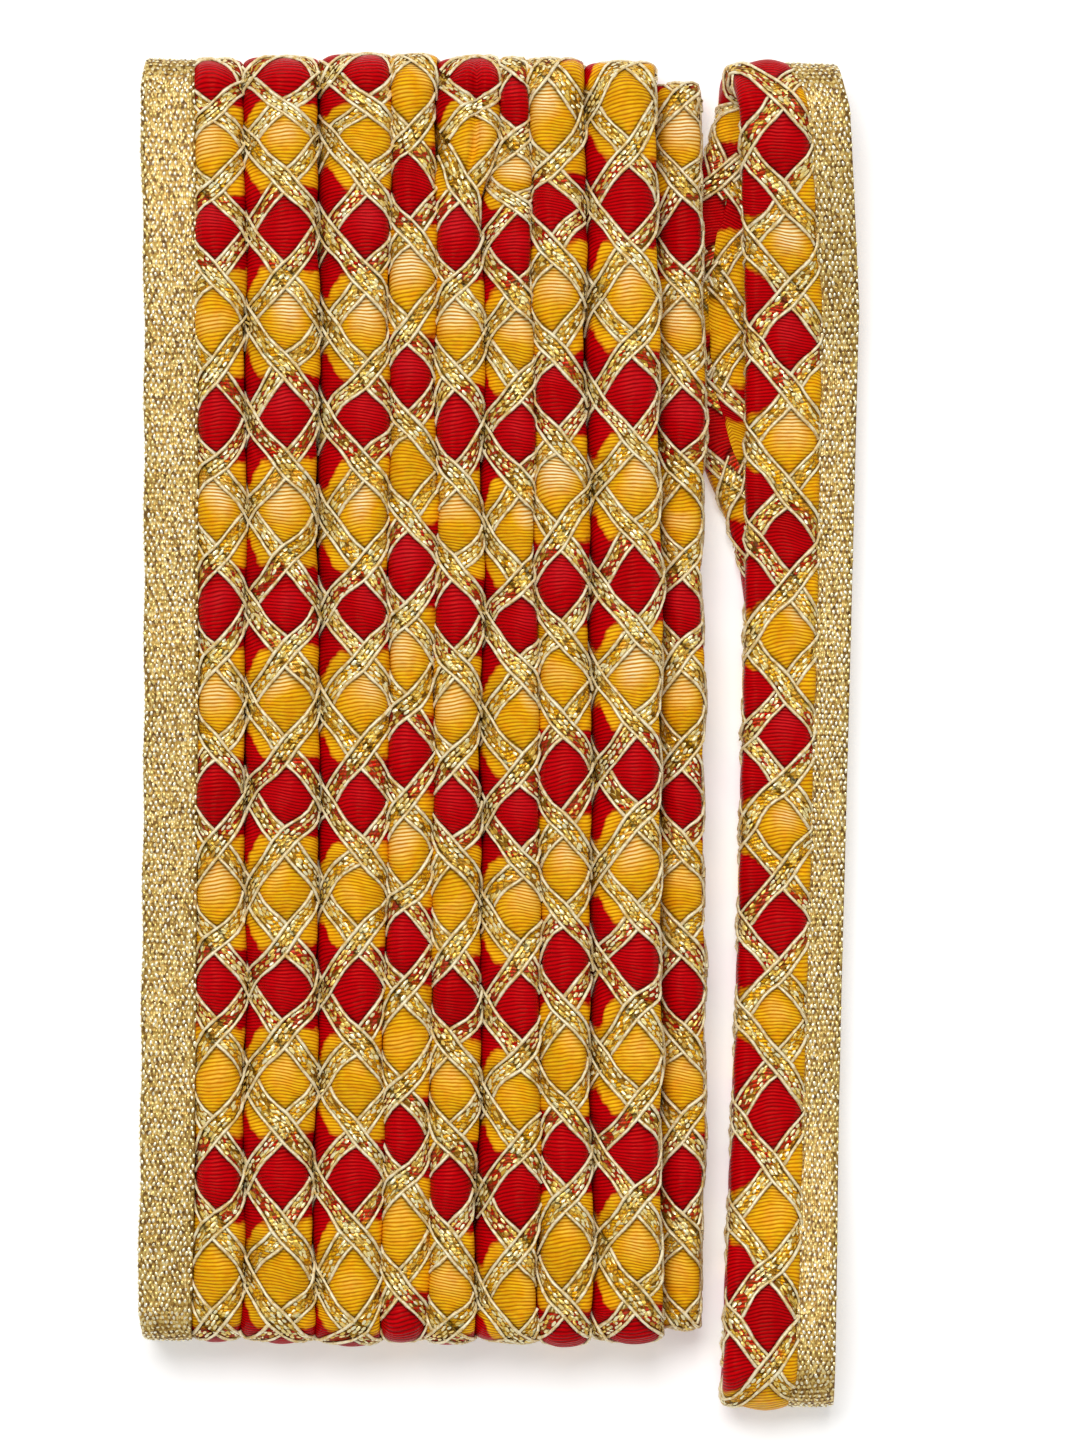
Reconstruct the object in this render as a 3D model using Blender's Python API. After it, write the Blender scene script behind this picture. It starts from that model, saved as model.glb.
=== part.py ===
"""A flat-wound roll of gota trim, lying on its back.

The trim is a soft piping of ribbed cloth under a net of metallic bands, with a woven gold tape sewn
along one edge. It is wound round and round into a flat bundle: each turn runs down the front, folds
under at the foot, comes up the back and folds over at the head. Eight turns lie side by side on the
outside, one turn of the layer below shows at the right, and the last turn lies loose beside them.

Metres, +Z up. The front faces up, the head is at +Y, and the origin is at the middle of the base.
"""

import math

import bpy
import numpy as np

MM = 0.001

# Driving sizes, in millimetres.
THICKNESS = 20.0
UNDERSIDE = -1.2  # where the soft ridges would reach, before the surface flattens them at 0
TUCK_HEIGHT = 4.75  # the underside of the layer that shows at the right, above the loose turn
FOLD_RADIUS = 5.5
FOLD_SHARE = 0.42  # the fold's radius at most, as a share of the height between its levels
DIAMOND_PITCH = 15.3  # one diamond of the net, along the trim
PUFF = 0.55  # how far the cloth swells between the bands
GROOVE = 2.5  # depth of the valley between two turns
GAP = 0.3  # between pieces that touch
TAPE_THICKNESS = 0.9
HEAD_DIP = 2.6  # how much the front falls away towards the head fold
FOOT_DIP = 1.2
HEAD_DIP_LENGTH = 38.0
FOOT_DIP_LENGTH = 26.0
ROWS_PER_DIAMOND = 4
LEG_ROWS = 48
TAPE_ROWS_SKIPPED = 3  # the tape is plain, so it keeps one leg row in so many
CORNER_STEPS = 3

# The turns from left to right. left and right are the valleys that bound a turn, crown its ridge,
# each at the head and at the foot, red the height on the page of the middle red diamond, head and
# foot the ends of its folds, low how far it lies below the outer layer.
TURN_COLUMNS = (
    "left_head", "left_foot", "crown_head", "crown_foot", "right_head", "right_foot",
    "red", "head", "foot", "low",
)
TURN_ROWS = (
    (-48.0, -49.0, -45.3, -45.5, -40.7, -40.9, 20.0, 107.3, -97.9, 1.0),
    (-40.7, -40.9, -33.9, -34.6, -29.0, -29.5, 20.3, 107.8, -98.1, 0.0),
    (-29.0, -29.5, -21.0, -23.0, -17.1, -19.0, 20.0, 108.3, -98.5, 0.0),
    (-17.1, -19.0, -14.1, -15.5, -9.7, -11.3, 26.7, 108.5, -98.0, 0.2),
    (-9.7, -11.3, -6.9, -8.3, -2.7, -3.8, 18.1, 108.2, -98.2, 0.0),
    (-2.7, -3.8, 3.5, 3.2, 6.8, 6.8, 16.3, 108.0, -98.2, 0.3),
    (6.8, 6.8, 9.3, 10.6, 14.3, 15.0, 23.7, 107.9, -98.6, 0.0),
    (14.3, 15.0, 21.2, 22.0, 25.4, 26.0, 24.0, 107.3, -98.2, 0.4),
    (25.4, 26.0, 29.0, 29.4, 32.7, 32.9, 16.3, 104.4, -96.4, 5.5),
)
TURNS = [dict(zip(TURN_COLUMNS, row)) for row in TURN_ROWS]

# The stack of tape edges at the left, which carries the outer tape, and that tape itself. A loop of
# the stack lies at an edge of the tape, a little inward, and deeper than the stack by so much.
STACK_LOW = 3.1
STACK_LOOPS = (("left", 0.8, 1.6), ("left", 1.3, 0.2), ("right", 0.0, 0.0))
TAPE_LOW = STACK_LOW - GAP - TAPE_THICKNESS
TAPE_EDGE_COLUMNS = ("along", "left", "right")
TAPE_EDGE_ROWS = (
    (-98.0, -57.7, -49.9),
    (-75.0, -57.2, -49.2),
    (0.0, -56.6, -48.8),
    (70.0, -56.4, -48.5),
    (107.0, -56.9, -48.5),
)

# The loose last turn: its edges and its seam at five places along the front.
END_COLUMNS = ("along", "left", "seam", "right")
END_ROWS = (
    (-108.0, 36.2, 47.9, 54.2),
    (-45.0, 38.7, 49.8, 55.2),
    (20.0, 40.1, 51.6, 56.6),
    (68.0, 40.1, 52.3, 57.7),
    (107.0, 38.8, 49.4, 55.4),
)
END_HEAD = 107.4
END_FOOT = -108.9
END_RED = -0.8
END_FOLD_HEIGHT = 15.6
END_MIDDLE_HEIGHT = 9.4
END_RISE_LENGTH = 42.0  # over which the front rises from the middle to a fold
END_BOW = 12.0  # how far the back swings left, under the layer that shows at the right
END_BOW_LENGTH = 88.0  # from the head fold to where it runs straight below the front again
END_ROWS_ALONG = 52
END_FOLD_STEPS = 8

# The section of the loose piping: place across it, from -1 to 1, and depth below its crown.
END_SECTION = (
    (-1.0, 2.3), (-0.86, 0.9), (-0.5, 0.25), (0.0, 0.0), (0.5, 0.25), (0.86, 0.9), (1.0, 2.3),
    (0.8, 4.0), (0.0, 4.4), (-0.8, 4.0),
)

# Places across a turn where its surface has points, from its left valley to its crown to its right.
ACROSS = (-1.0, -0.55, 0.0, 0.55, 1.0)
SHOULDER = 0.42  # depth at half way down a turn's side, as a share of the valley's depth

BLUNT_OUT = 0.5  # the last loop at the right lies this far out, and is drawn in by the next value
BLUNT_IN = 1.0

COLOURS = {
    "piping_cloth": ((0.50, 0.05, 0.01, 1.0), 0.6, 0.0),
    "gota_tape": ((0.70, 0.52, 0.17, 1.0), 0.35, 0.85),
}


def clear_scene():
    for thing in list(bpy.data.objects):
        bpy.data.objects.remove(thing)


def finish(name):
    """The plain finish of one kind of cloth."""
    material = bpy.data.materials.get(name) or bpy.data.materials.new(name)
    material.use_nodes = True
    colour, roughness, metallic = COLOURS[name]
    shader = material.node_tree.nodes["Principled BSDF"]
    shader.inputs["Base Color"].default_value = colour
    shader.inputs["Roughness"].default_value = roughness
    shader.inputs["Metallic"].default_value = metallic
    return material


def between(rows, columns, name, along):
    """The value of one column of a table at some places along Y."""
    at = np.array([row[0] for row in rows])
    value = np.array([row[columns.index(name)] for row in rows])
    return np.interp(along, at, value)


def smooth(x):
    """0 below 0, 1 above 1, and an even rise between."""
    x = np.clip(x, 0, 1)
    return x * x * (3 - 2 * x)


def quilt(across, along):
    """The swell of the cloth: 1 in the middle of a diamond and 0 under a band. Two families of
    bands slope either way, and the height is the square of the product of two cosines."""
    first = np.cos(math.pi * (along - across / 2))
    second = np.cos(math.pi * (along + across / 2))
    return (first * second) ** 2


def dip(y, head, foot):
    """How far the front falls away near its folds."""
    to_head = smooth(1 - (head - y) / HEAD_DIP_LENGTH)
    to_foot = smooth(1 - (y - foot) / FOOT_DIP_LENGTH)
    return HEAD_DIP * to_head + FOOT_DIP * to_foot


def leg_places(head, foot, red, radius):
    """Places along a leg, in steps of a quarter diamond that fall on this turn's own diamonds."""
    even = np.linspace(head - radius, foot + radius, LEG_ROWS + 1)
    step = DIAMOND_PITCH / ROWS_PER_DIAMOND
    shift = (even[LEG_ROWS // 2] - red + step / 2) % step - step / 2
    slack = smooth(np.minimum(np.arange(LEG_ROWS + 1), np.arange(LEG_ROWS, -1, -1)) / 3)
    return even - shift * slack


def turn_outline(head, foot, top, bottom, red):
    """The closed loop of a turn in the YZ plane, with the outward direction at each point:
    down the front, round the foot, up the back and round the head."""
    radius = min(FOLD_RADIUS, FOLD_SHARE * (top - HEAD_DIP - bottom))
    leg = leg_places(head, foot, red, radius)
    lowered = dip(leg, head, foot)
    points = [np.stack([leg, top - lowered], 1)]
    outward = [np.stack([np.zeros_like(leg), np.ones_like(leg)], 1)]

    def fold(end, side, first, last):
        """Two corners of a fold with its end face between them; first and last are its levels."""
        steps = np.linspace(0, math.pi / 2, CORNER_STEPS + 1)
        up = np.sign(first - last)
        for level, angle, drawn in ((first, steps[1:], 1), (last, steps[:-1], -1)):
            if drawn > 0:
                way = np.stack([side * np.sin(angle), up * np.cos(angle)], 1)
            else:
                way = np.stack([side * np.cos(angle), -up * np.sin(angle)], 1)
            centre = np.array([end - side * radius, level - drawn * up * radius])
            points.append(centre + radius * way)
            outward.append(way)

    fold(foot, -1.0, top - lowered[-1], bottom)
    points.append(np.stack([leg[::-1], np.full_like(leg, bottom)], 1))
    outward.append(np.stack([np.zeros_like(leg), -np.ones_like(leg)], 1))
    fold(head, 1.0, bottom, top - lowered[0])
    return np.concatenate(points), np.concatenate(outward)


def station(turn, u):
    """One loop of points across the roll, at place u of a turn: x is the same all along a leg but
    for the turn's slight lean, and the loop lies lower the further it is from the crown."""
    side = "left" if u < 0 else "right"
    depth = GROOVE * (SHOULDER if abs(u) < 1 else 1.0) * (abs(u) > 0)
    top = THICKNESS - turn["low"]
    bottom = TUCK_HEIGHT if turn is TURNS[-1] else UNDERSIDE
    loop, outward = turn_outline(turn["head"], turn["foot"], top, bottom, turn["red"])
    swell = PUFF * quilt(u, (loop[:, 0] - turn["red"]) / DIAMOND_PITCH)
    loop = loop - outward * (depth - swell * (abs(u) < 1))[:, None]
    lean = (turn["head"] - loop[:, 0]) / (turn["head"] - turn["foot"])
    crown = turn["crown_head"] + (turn["crown_foot"] - turn["crown_head"]) * lean
    edge = turn[side + "_head"] + (turn[side + "_foot"] - turn[side + "_head"]) * lean
    x = crown + (edge - crown) * abs(u)
    return np.column_stack([x, loop])


def stack(deeper):
    """A loop round the stack of tape edges, at one depth below the first turn's crown."""
    turn = TURNS[0]
    loop, outward = turn_outline(turn["head"], turn["foot"], THICKNESS, UNDERSIDE, turn["red"])
    loop = loop - outward * deeper
    return np.column_stack([np.zeros(len(loop)), loop])


def tape_edge(name, y):
    return between(TAPE_EDGE_ROWS, TAPE_EDGE_COLUMNS, name, y)


def blunt_end(loop):
    """The last loop at the right, a little further out and drawn in towards its own middle."""
    end = loop.copy()
    end[:, 0] += BLUNT_OUT
    middle = (loop.max(0) + loop.min(0)) / 2
    half = (loop.max(0) - loop.min(0)) / 2
    end[:, 1:] = middle[1:] + (loop[:, 1:] - middle[1:]) * (half[1:] - BLUNT_IN) / half[1:]
    return end


def body(name, material, loops):
    """A closed solid skinned over loops of points, with both ends filled. Each cell is cut along
    the way that the net's bands run."""
    count = len(loops[0])
    points = np.concatenate(loops)
    points[:, 2] = np.maximum(points[:, 2], 0.0)
    faces = []
    for i in range(len(loops) - 1):
        for j in range(count):
            a, b = i * count + j, i * count + (j + 1) % count
            c, d = b + count, a + count
            rising = abs(points[a, 2] - points[c, 2]) < abs(points[b, 2] - points[d, 2])
            faces += [(a, b, c), (a, c, d)] if rising else [(a, b, d), (b, c, d)]
    faces.append(tuple(range(count - 1, -1, -1)))
    last = (len(loops) - 1) * count
    faces.append(tuple(range(last, last + count)))
    return add(name, material, points, faces)


def add(name, material, points, faces):
    mesh = bpy.data.meshes.new(name)
    mesh.from_pydata([tuple(p * MM) for p in points], [], faces)
    mesh.materials.append(finish(material))
    mesh.update()
    mesh.shade_smooth()
    thing = bpy.data.objects.new(name, mesh)
    bpy.context.scene.collection.objects.link(thing)
    return thing


def ring(name, material, sections):
    """A closed ring: each section is a closed loop of points, and the last joins the first."""
    rows, count = len(sections), len(sections[0])
    points = np.concatenate(sections)
    points[:, 2] = np.maximum(points[:, 2], 0.0)
    faces = []
    for i in range(rows):
        for j in range(count):
            a, b = i * count + j, i * count + (j + 1) % count
            c, d = (i + 1) % rows * count + (j + 1) % count, (i + 1) % rows * count + j
            faces.append((a, d, c, b))
    return add(name, material, points, faces)


def wound_trim():
    """All the wound turns as one solid, from the stack of tape edges to the layer at the right."""
    loops = []
    for side, inward, deeper in STACK_LOOPS:
        loop = stack(STACK_LOW + deeper)
        loop[:, 0] = tape_edge(side, loop[:, 1]) + inward
        loops.append(loop)
    for i, turn in enumerate(TURNS):
        loops += [station(turn, u) for u in ACROSS[(0 if i == 0 else 1):]]
    loops.append(blunt_end(loops[-1]))
    return body("wound_trim", "piping_cloth", loops)


def outer_tape():
    """The gold tape of the first turn, a thin band round the stack of tape edges."""
    turn = TURNS[0]
    sections = []
    depths = (TAPE_LOW, TAPE_LOW + TAPE_THICKNESS)
    loop, outward = turn_outline(turn["head"], turn["foot"], THICKNESS, UNDERSIDE, turn["red"])
    keep = np.ones(len(loop), bool)
    for leg in (0, LEG_ROWS + 1 + 2 * CORNER_STEPS):
        keep[leg + 1:leg + LEG_ROWS] = np.arange(1, LEG_ROWS) % TAPE_ROWS_SKIPPED == 0
    for (y, z), way in zip(loop[keep], outward[keep]):
        left, right = tape_edge("left", y), tape_edge("right", y) - GAP
        corner = [np.array([y, z]) - way * depth for depth in depths]
        sections.append(np.array([
            (left, *corner[0]), (right, *corner[0]), (right, *corner[1]), (left, *corner[1]),
        ]))
    return ring("outer_tape", "gota_tape", sections)


def end_path():
    """The loose turn's crown line in the YZ plane: points, outward directions and how far the back
    swings left. Its two legs lie on each other in the middle and part at the rounded folds."""
    radius = END_FOLD_HEIGHT / 2
    y = np.linspace(END_HEAD - radius, END_FOOT + radius, END_ROWS_ALONG + 1)
    to_end = np.minimum(END_HEAD - y, y - END_FOOT) - radius
    rise = (END_FOLD_HEIGHT - END_MIDDLE_HEIGHT) * (1 - smooth(to_end / END_RISE_LENGTH))
    z = END_MIDDLE_HEIGHT + rise
    slope = np.gradient(z, y)
    length = np.sqrt(1 + slope**2)
    front = np.stack([y, z], 1)
    front_out = np.stack([-slope / length, 1 / length], 1)
    angle = np.linspace(0, math.pi, END_FOLD_STEPS + 1)[1:-1]
    foot_way = np.stack([-np.sin(angle), np.cos(angle)], 1)
    head_way = np.stack([np.sin(angle), -np.cos(angle)], 1)
    back = np.stack([y[::-1], np.zeros_like(y)], 1)
    points = np.concatenate([
        front,
        np.array([END_FOOT + radius, radius]) + radius * foot_way,
        back,
        np.array([END_HEAD - radius, radius]) + radius * head_way,
    ])
    outward = np.concatenate([
        front_out, foot_way, np.tile([0.0, -1.0], (len(back), 1)), head_way,
    ])
    bow = np.zeros(len(points))
    back_from = len(front) + len(foot_way)
    share = np.clip((END_HEAD - back[:, 0]) / END_BOW_LENGTH, 0, 1)
    swing = np.where(share < 0.5, np.sin(math.pi * share), smooth(2 - 2 * share))
    bow[back_from:back_from + len(back)] = END_BOW * swing
    folded = slice(back_from + len(back), None)
    bow[folded] = bow[back_from + len(back) - 1] * np.linspace(1, 0, len(head_way) + 2)[1:-1]
    return points, outward, bow


def end_turn():
    """The loose last turn: its piping and its tape, each a closed ring."""
    points, outward, bow = end_path()
    piping, tape = [], []
    for (y, z), way, swing in zip(points, outward, bow):
        left, seam, right = (
            between(END_ROWS, END_COLUMNS, name, y) - swing for name in ("left", "seam", "right")
        )
        middle, half = (left + seam - GAP) / 2, (seam - GAP - left) / 2
        along = (y - END_RED) / DIAMOND_PITCH
        section = []
        for across, depth in END_SECTION:
            top_side = depth < 1.0
            lift = PUFF * float(quilt(across, along)) if top_side else 0.0
            inner = np.array([y, z]) - way * (depth - lift)
            section.append((middle + half * across, *inner))
        piping.append(np.array(section))
        level = END_SECTION[0][1]
        outer = np.array([y, z]) - way * (level - TAPE_THICKNESS / 2)
        inner = np.array([y, z]) - way * (level + TAPE_THICKNESS / 2)
        tape.append(np.array([
            (seam, *outer), (right, *outer), (right, *inner), (seam, *inner),
        ]))
    return (
        ring("end_turn_piping", "piping_cloth", piping),
        ring("end_turn_tape", "gota_tape", tape),
    )


def main():
    clear_scene()
    wound_trim()
    outer_tape()
    end_turn()


main()
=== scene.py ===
# %% [markdown]
# # A flat-wound roll of gota trim
#
# The real thing is a padded trim: a soft piping of ribbed cloth, dyed crimson and amber by turns, under a
# net of gold bands that cross in diamonds, with a woven gold tape sewn along one edge. Metres of it are
# wound into a flat bundle. This lesson dresses the plain CAD solids of that bundle. Every surface is a
# function of two numbers: how far across the trim a point lies, and how far along it.

# %% Load the frame
import math

import bpy
import numpy as np
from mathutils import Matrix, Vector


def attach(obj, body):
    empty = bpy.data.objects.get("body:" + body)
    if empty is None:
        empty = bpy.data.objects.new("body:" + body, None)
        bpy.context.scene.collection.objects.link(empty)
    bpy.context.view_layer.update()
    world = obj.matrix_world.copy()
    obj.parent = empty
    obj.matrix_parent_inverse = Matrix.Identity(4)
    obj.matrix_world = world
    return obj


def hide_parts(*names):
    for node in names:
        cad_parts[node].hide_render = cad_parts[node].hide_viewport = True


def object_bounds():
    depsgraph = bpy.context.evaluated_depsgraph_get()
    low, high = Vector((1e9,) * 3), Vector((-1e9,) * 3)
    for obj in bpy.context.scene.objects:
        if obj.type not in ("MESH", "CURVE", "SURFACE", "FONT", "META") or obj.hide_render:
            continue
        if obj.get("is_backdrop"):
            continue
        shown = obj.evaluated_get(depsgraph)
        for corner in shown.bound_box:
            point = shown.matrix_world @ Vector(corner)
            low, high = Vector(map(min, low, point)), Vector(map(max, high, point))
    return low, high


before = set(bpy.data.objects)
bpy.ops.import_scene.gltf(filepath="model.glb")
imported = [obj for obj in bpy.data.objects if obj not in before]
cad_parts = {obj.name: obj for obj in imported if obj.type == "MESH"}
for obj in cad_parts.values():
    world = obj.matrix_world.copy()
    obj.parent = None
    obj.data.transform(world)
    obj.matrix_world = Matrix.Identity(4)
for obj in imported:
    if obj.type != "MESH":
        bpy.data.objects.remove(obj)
rng = np.random.default_rng(7)
CAD_LOW, CAD_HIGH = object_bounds()
MM = 0.001
print("CAD box in mm:", [round(v / MM, 1) for v in (*CAD_LOW, *CAD_HIGH)])

# %% [markdown]
# ## Sizes
#
# All lengths are in millimetres, in the CAD's frame: +Y runs along the turns to the head folds, +X to the
# loose last turn, +Z up. A cell is one diamond of the net. The trim repeats every two cells, because the
# cloth is crimson under one diamond and amber under the next.

# %% Driving sizes
CELL_WIDTH, CELL_LENGTH = 13.1, 15.2
BAND_HALF = 1.45  # from the middle of a band to its edge cord, where bands cross
BAND_NIP = 0.18  # the share by which a band narrows between two crossings
CORD_RADIUS = 0.28
PUFF = 1.3  # how far the cloth swells in the middle of a diamond
THICKNESS = 20.0  # from the base to the top of the bundle
UNDERSIDE = -1.2  # the turns are soft, and are pressed flat where they would reach below the base
TUCK_HEIGHT = 4.75  # the underside of the lower turn, above the loose turn's back
FOLD_RADIUS, FOLD_SHARE = 5.5, 0.42  # of a corner of the loop; a share of the height, if that is less
HEAD_DIP, HEAD_DIP_LENGTH = 2.6, 38.0
FOOT_DIP, FOOT_DIP_LENGTH = 1.2, 26.0
TURN_CELLS = 28  # an even number, so that the colours meet where a turn closes on itself

# %% [markdown]
# ## Where the turns lie
#
# The turns overlap like tiles: each one rolls down at its right over the left edge of the next, so the
# valleys between them are dark creases at uneven distances. A valley and a crown each pass through three
# places, at the foot, the middle and the head, and a parabola joins them. Near the head the net is drawn
# together: the columns `near` and `last` say by how many cells, in the last cells before the fold.

# %% Valleys and crowns of the turns
FOOT_AT, MIDDLE_AT, HEAD_AT = -98.0, 0.0, 107.0
VALLEYS = (
    (-49.0, -48.1, -48.9), (-41.0, -40.4, -40.7), (-29.5, -28.7, -29.0), (-18.6, -17.5, -17.1),
    (-11.3, -10.0, -9.7), (-3.8, -2.5, -2.7), (6.8, 6.6, 4.7), (15.0, 14.8, 13.8),
    (26.0, 26.2, 25.4), (32.9, 33.2, 32.7),
)
TURN_COLUMNS = ("axis_foot", "axis_middle", "axis_head", "red", "near", "last", "head", "foot", "low")
TURN_ROWS = (
    (-45.7, -45.0, -46.0, 19.7, 0.15, 0.26, 107.9, -97.9, 1.0),
    (-34.5, -33.9, -34.3, 19.8, 0.05, 0.32, 108.2, -98.1, 0.0),
    (-23.3, -21.6, -20.8, 19.2, 0.00, 0.28, 108.6, -98.5, 0.0),
    (-15.9, -14.7, -14.0, 26.4, -0.03, 0.00, 108.5, -98.0, 0.2),
    (-8.2, -7.1, -6.5, 18.1, -0.05, 0.31, 108.2, -98.2, 0.0),
    (3.4, 3.9, 2.6, 16.8, 0.37, 0.16, 108.0, -98.2, 0.3),
    (10.6, 10.4, 7.7, 23.5, 0.13, -0.14, 107.9, -98.6, 0.0),
    (22.1, 22.3, 20.6, 23.7, -0.06, -0.03, 107.4, -98.2, 0.4),
    (30.0, 29.6, 30.0, 19.2, 0.00, 0.00, 104.4, -96.4, 7.2),
)
TURNS = [dict(zip(TURN_COLUMNS, row)) for row in TURN_ROWS]
LEFT_FLAT, RIGHT_FLAT = 0.10, 0.42  # shares of each half that stay flat
LEFT_TURNED = math.radians(76)  # how far round the left side rolls
SKIRTS = (4.6, 4.6, 4.6, 4.6, 4.6, 4.6, 4.6, 7.6, 3.0)  # below the right roll of each turn
LEFT_SKIRT = 2.6
FOLD_FLATNESS = 0.78  # how much shallower the section is where a turn folds over, pulled taut
SKIRT_FLATNESS = 0.30  # the same for the part that hangs straight down, so it still closes the fold
SLACK_TURN, SLACK_SWING, SLACK_FROM = 4, 3.1, 82.0  # the fifth turn is slack and creased at its head
print(len(TURNS), "turns across", VALLEYS[-1][1] - VALLEYS[0][1], "mm")

# %% [markdown]
# ## The line that a turn follows
#
# Seen from the side a turn is a long loop with rounded corners: up the front, over the head fold, down
# the back and under the foot fold. The line is worked out densely once, with its outward direction and
# its cell number at each point, and everything else is read off it by interpolation.

# %% Curves that the loops are made of
LINE_POINTS, ARC_POINTS = 260, 14


def smooth(x):
    """0 below 0, 1 above 1, and an S-shaped rise between: 3x² - 2x³."""
    x = np.clip(x, 0, 1)
    return x * x * (3 - 2 * x)


def curve_through(places, y):
    """The parabola through three places, at the foot, the middle and the head."""
    a, b, c = FOOT_AT, MIDDLE_AT, HEAD_AT
    return (
        places[0] * (y - b) * (y - c) / ((a - b) * (a - c))
        + places[1] * (y - a) * (y - c) / ((b - a) * (b - c))
        + places[2] * (y - a) * (y - b) / ((c - a) * (c - b))
    )


def arc(centre, radius, start, end, count=ARC_POINTS):
    """Points of a circle in the YZ plane, without the first, from one angle to another."""
    angle = np.linspace(start, end, count + 1)[1:]
    return np.stack([centre[0] + radius * np.cos(angle), centre[1] + radius * np.sin(angle)], 1)


# %% [markdown]
# The folds draw the net together a little, so a cell isn't the same length everywhere. A squeeze adds
# part of a cell between two lengths, and the back takes up whatever remains of the whole number of cells.

# %% Lengths, directions and cell numbers along a loop
def unit(vectors):
    """The same vectors, each divided by its length."""
    return vectors / np.linalg.norm(vectors, axis=-1, keepdims=True)


def line_facts(points, back, red, pitch, cells, squeezes=((0.0, 0.0, 1.0),)):
    """Arc length, outward direction and cell number along a closed line of points. The cell number
    grows by one every pitch, and on the back by as much as brings the whole line to `cells`. A
    squeeze adds cells between two lengths."""
    closed = np.vstack([points, points[:1]])
    step = np.linalg.norm(np.diff(closed, axis=0), axis=1)
    length = np.concatenate([[0], np.cumsum(step)])
    tangent = unit(np.roll(points, -1, 0) - np.roll(points, 1, 0))
    outward = np.stack([-tangent[:, 1], tangent[:, 0]], 1)
    outward = np.vstack([outward, outward[:1]])
    squeezed = sum(more * smooth((length[:-1] - start) / (end - start)) for more, start, end in squeezes)
    grown = step / pitch + np.diff(np.append(squeezed, squeezed[-1]))
    grown[back] *= (cells - grown[~back].sum()) / grown[back].sum()
    cell = np.concatenate([[0], np.cumsum(grown)])
    front = slice(0, int(np.argmax(closed[:, 0])))
    cell -= np.interp(red, closed[front, 0], cell[front])
    return {"length": length, "y": closed[:, 0], "z": closed[:, 1], "out": outward, "cell": cell}


def on_line(line, length):
    """The place and the outward direction, both in the YZ plane, at a length along a line."""
    return [np.interp(length, line["length"], values) for values in (line["y"], line["z"], *line["out"].T)]


# %% [markdown]
# A turn is pulled taut over both ends of the bundle, so its front dips as it comes near a fold. The lower
# turn at the right is so thin there that its corners are a share of its height.

# %% The loop of a wound turn
FOOT_SQUEEZE = (-0.08, 0, 22)  # cells, and the lengths from the foot between which they are added
NEAR_FROM, LAST_FROM, LAST_TO = 22, 9, -3  # lengths before the head fold


def turn_line(turn, bottom):
    """The loop of a wound turn: a rectangle with round corners, its front dipping at the folds."""
    head, foot, top = turn["head"], turn["foot"], THICKNESS - turn["low"]
    radius = min(FOLD_RADIUS, FOLD_SHARE * (top - HEAD_DIP - bottom))
    y = np.linspace(foot + radius, head - radius, LINE_POINTS)
    dip = HEAD_DIP * smooth(1 - (head - y) / HEAD_DIP_LENGTH)
    dip += FOOT_DIP * smooth(1 - (y - foot) / FOOT_DIP_LENGTH)
    front = np.stack([y, top - dip], 1)
    quarter = math.pi / 2
    over = arc((head - radius, front[-1, 1] - radius), radius, quarter, 0)
    down = arc((head - radius, bottom + radius), radius, 0, -quarter)
    back = np.stack([y[::-1], np.full_like(y, bottom)], 1)
    under = arc((foot + radius, bottom + radius), radius, -quarter, -2 * quarter)
    up = arc((foot + radius, front[0, 1] - radius), radius, -2 * quarter, -3 * quarter)[:-1]
    points = np.vstack([front, over, [[head, bottom + radius]], down, back[1:], under,
                        [[foot, front[0, 1] - radius]], up])
    is_back = np.zeros(len(points), bool)
    start = len(front) + len(over) + 1 + len(down)
    is_back[start:start + len(back) - 1] = True
    fold = head - foot - 2 * radius
    squeezes = (FOOT_SQUEEZE, (turn["near"], fold - NEAR_FROM, fold - LAST_FROM),
                (turn["last"], fold - LAST_FROM, fold - LAST_TO))
    return line_facts(points, is_back, turn["red"], CELL_LENGTH, TURN_CELLS, squeezes)


for i, turn in enumerate(TURNS):
    turn["index"] = i
    turn["line"] = turn_line(turn, TUCK_HEIGHT if i == len(TURNS) - 1 else UNDERSIDE)
print("One turn is", round(TURNS[1]["line"]["length"][-1]), "mm of trim")

# %% [markdown]
# ## The section of a turn
#
# Across the trim the cloth is round on top, rolls gently down at the left, and drops steeply at the
# right. Because it is made of straight runs and arcs, the distance along the section is exact, so the
# diamonds keep their true size where the cloth turns away from the eye.

# %% Valleys that wander a little
WOBBLE_WAVES = ((0.22, 6.3, 2.1), (0.16, 17.0, 4.7))  # height, length, and how much the phase grows
SLIT_MEAN, SLIT_WAVES = 0.14, ((0.22, 8.9, 1.9), (0.14, 3.7, 3.1))
SLACK_LENGTH = 14


def waves(table, place, seed, start=0.0):
    """A sum of sine waves, whose phase also grows with the seed."""
    return sum((size * np.sin(place / reach + grows * seed) for size, reach, grows in table), start)


def slack_swing(y):
    """How far the slack turn has swung right, from nothing to its full swing at the head."""
    return SLACK_SWING * smooth((y - SLACK_FROM) / SLACK_LENGTH)


def valley(j, y):
    """Where a valley lies; the one right of the slack turn swings over its neighbour at the head."""
    swing = slack_swing(y) if j == SLACK_TURN + 1 else 0.0
    return curve_through(VALLEYS[j], y) + waves(WOBBLE_WAVES, y, j) + swing


def opening(j, y):
    """A dark slit, up to half a millimetre wide, that comes and goes along a valley."""
    return np.maximum(waves(SLIT_WAVES, y, j, SLIT_MEAN), 0)


# %% [markdown]
# The section is measured from the crown: a flat run each way, then an arc, then a skirt that hangs down
# into the crease.

# %% The section of a wound turn
LEAST_LEFT, LEAST_RIGHT = 0.8, 1.6


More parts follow.
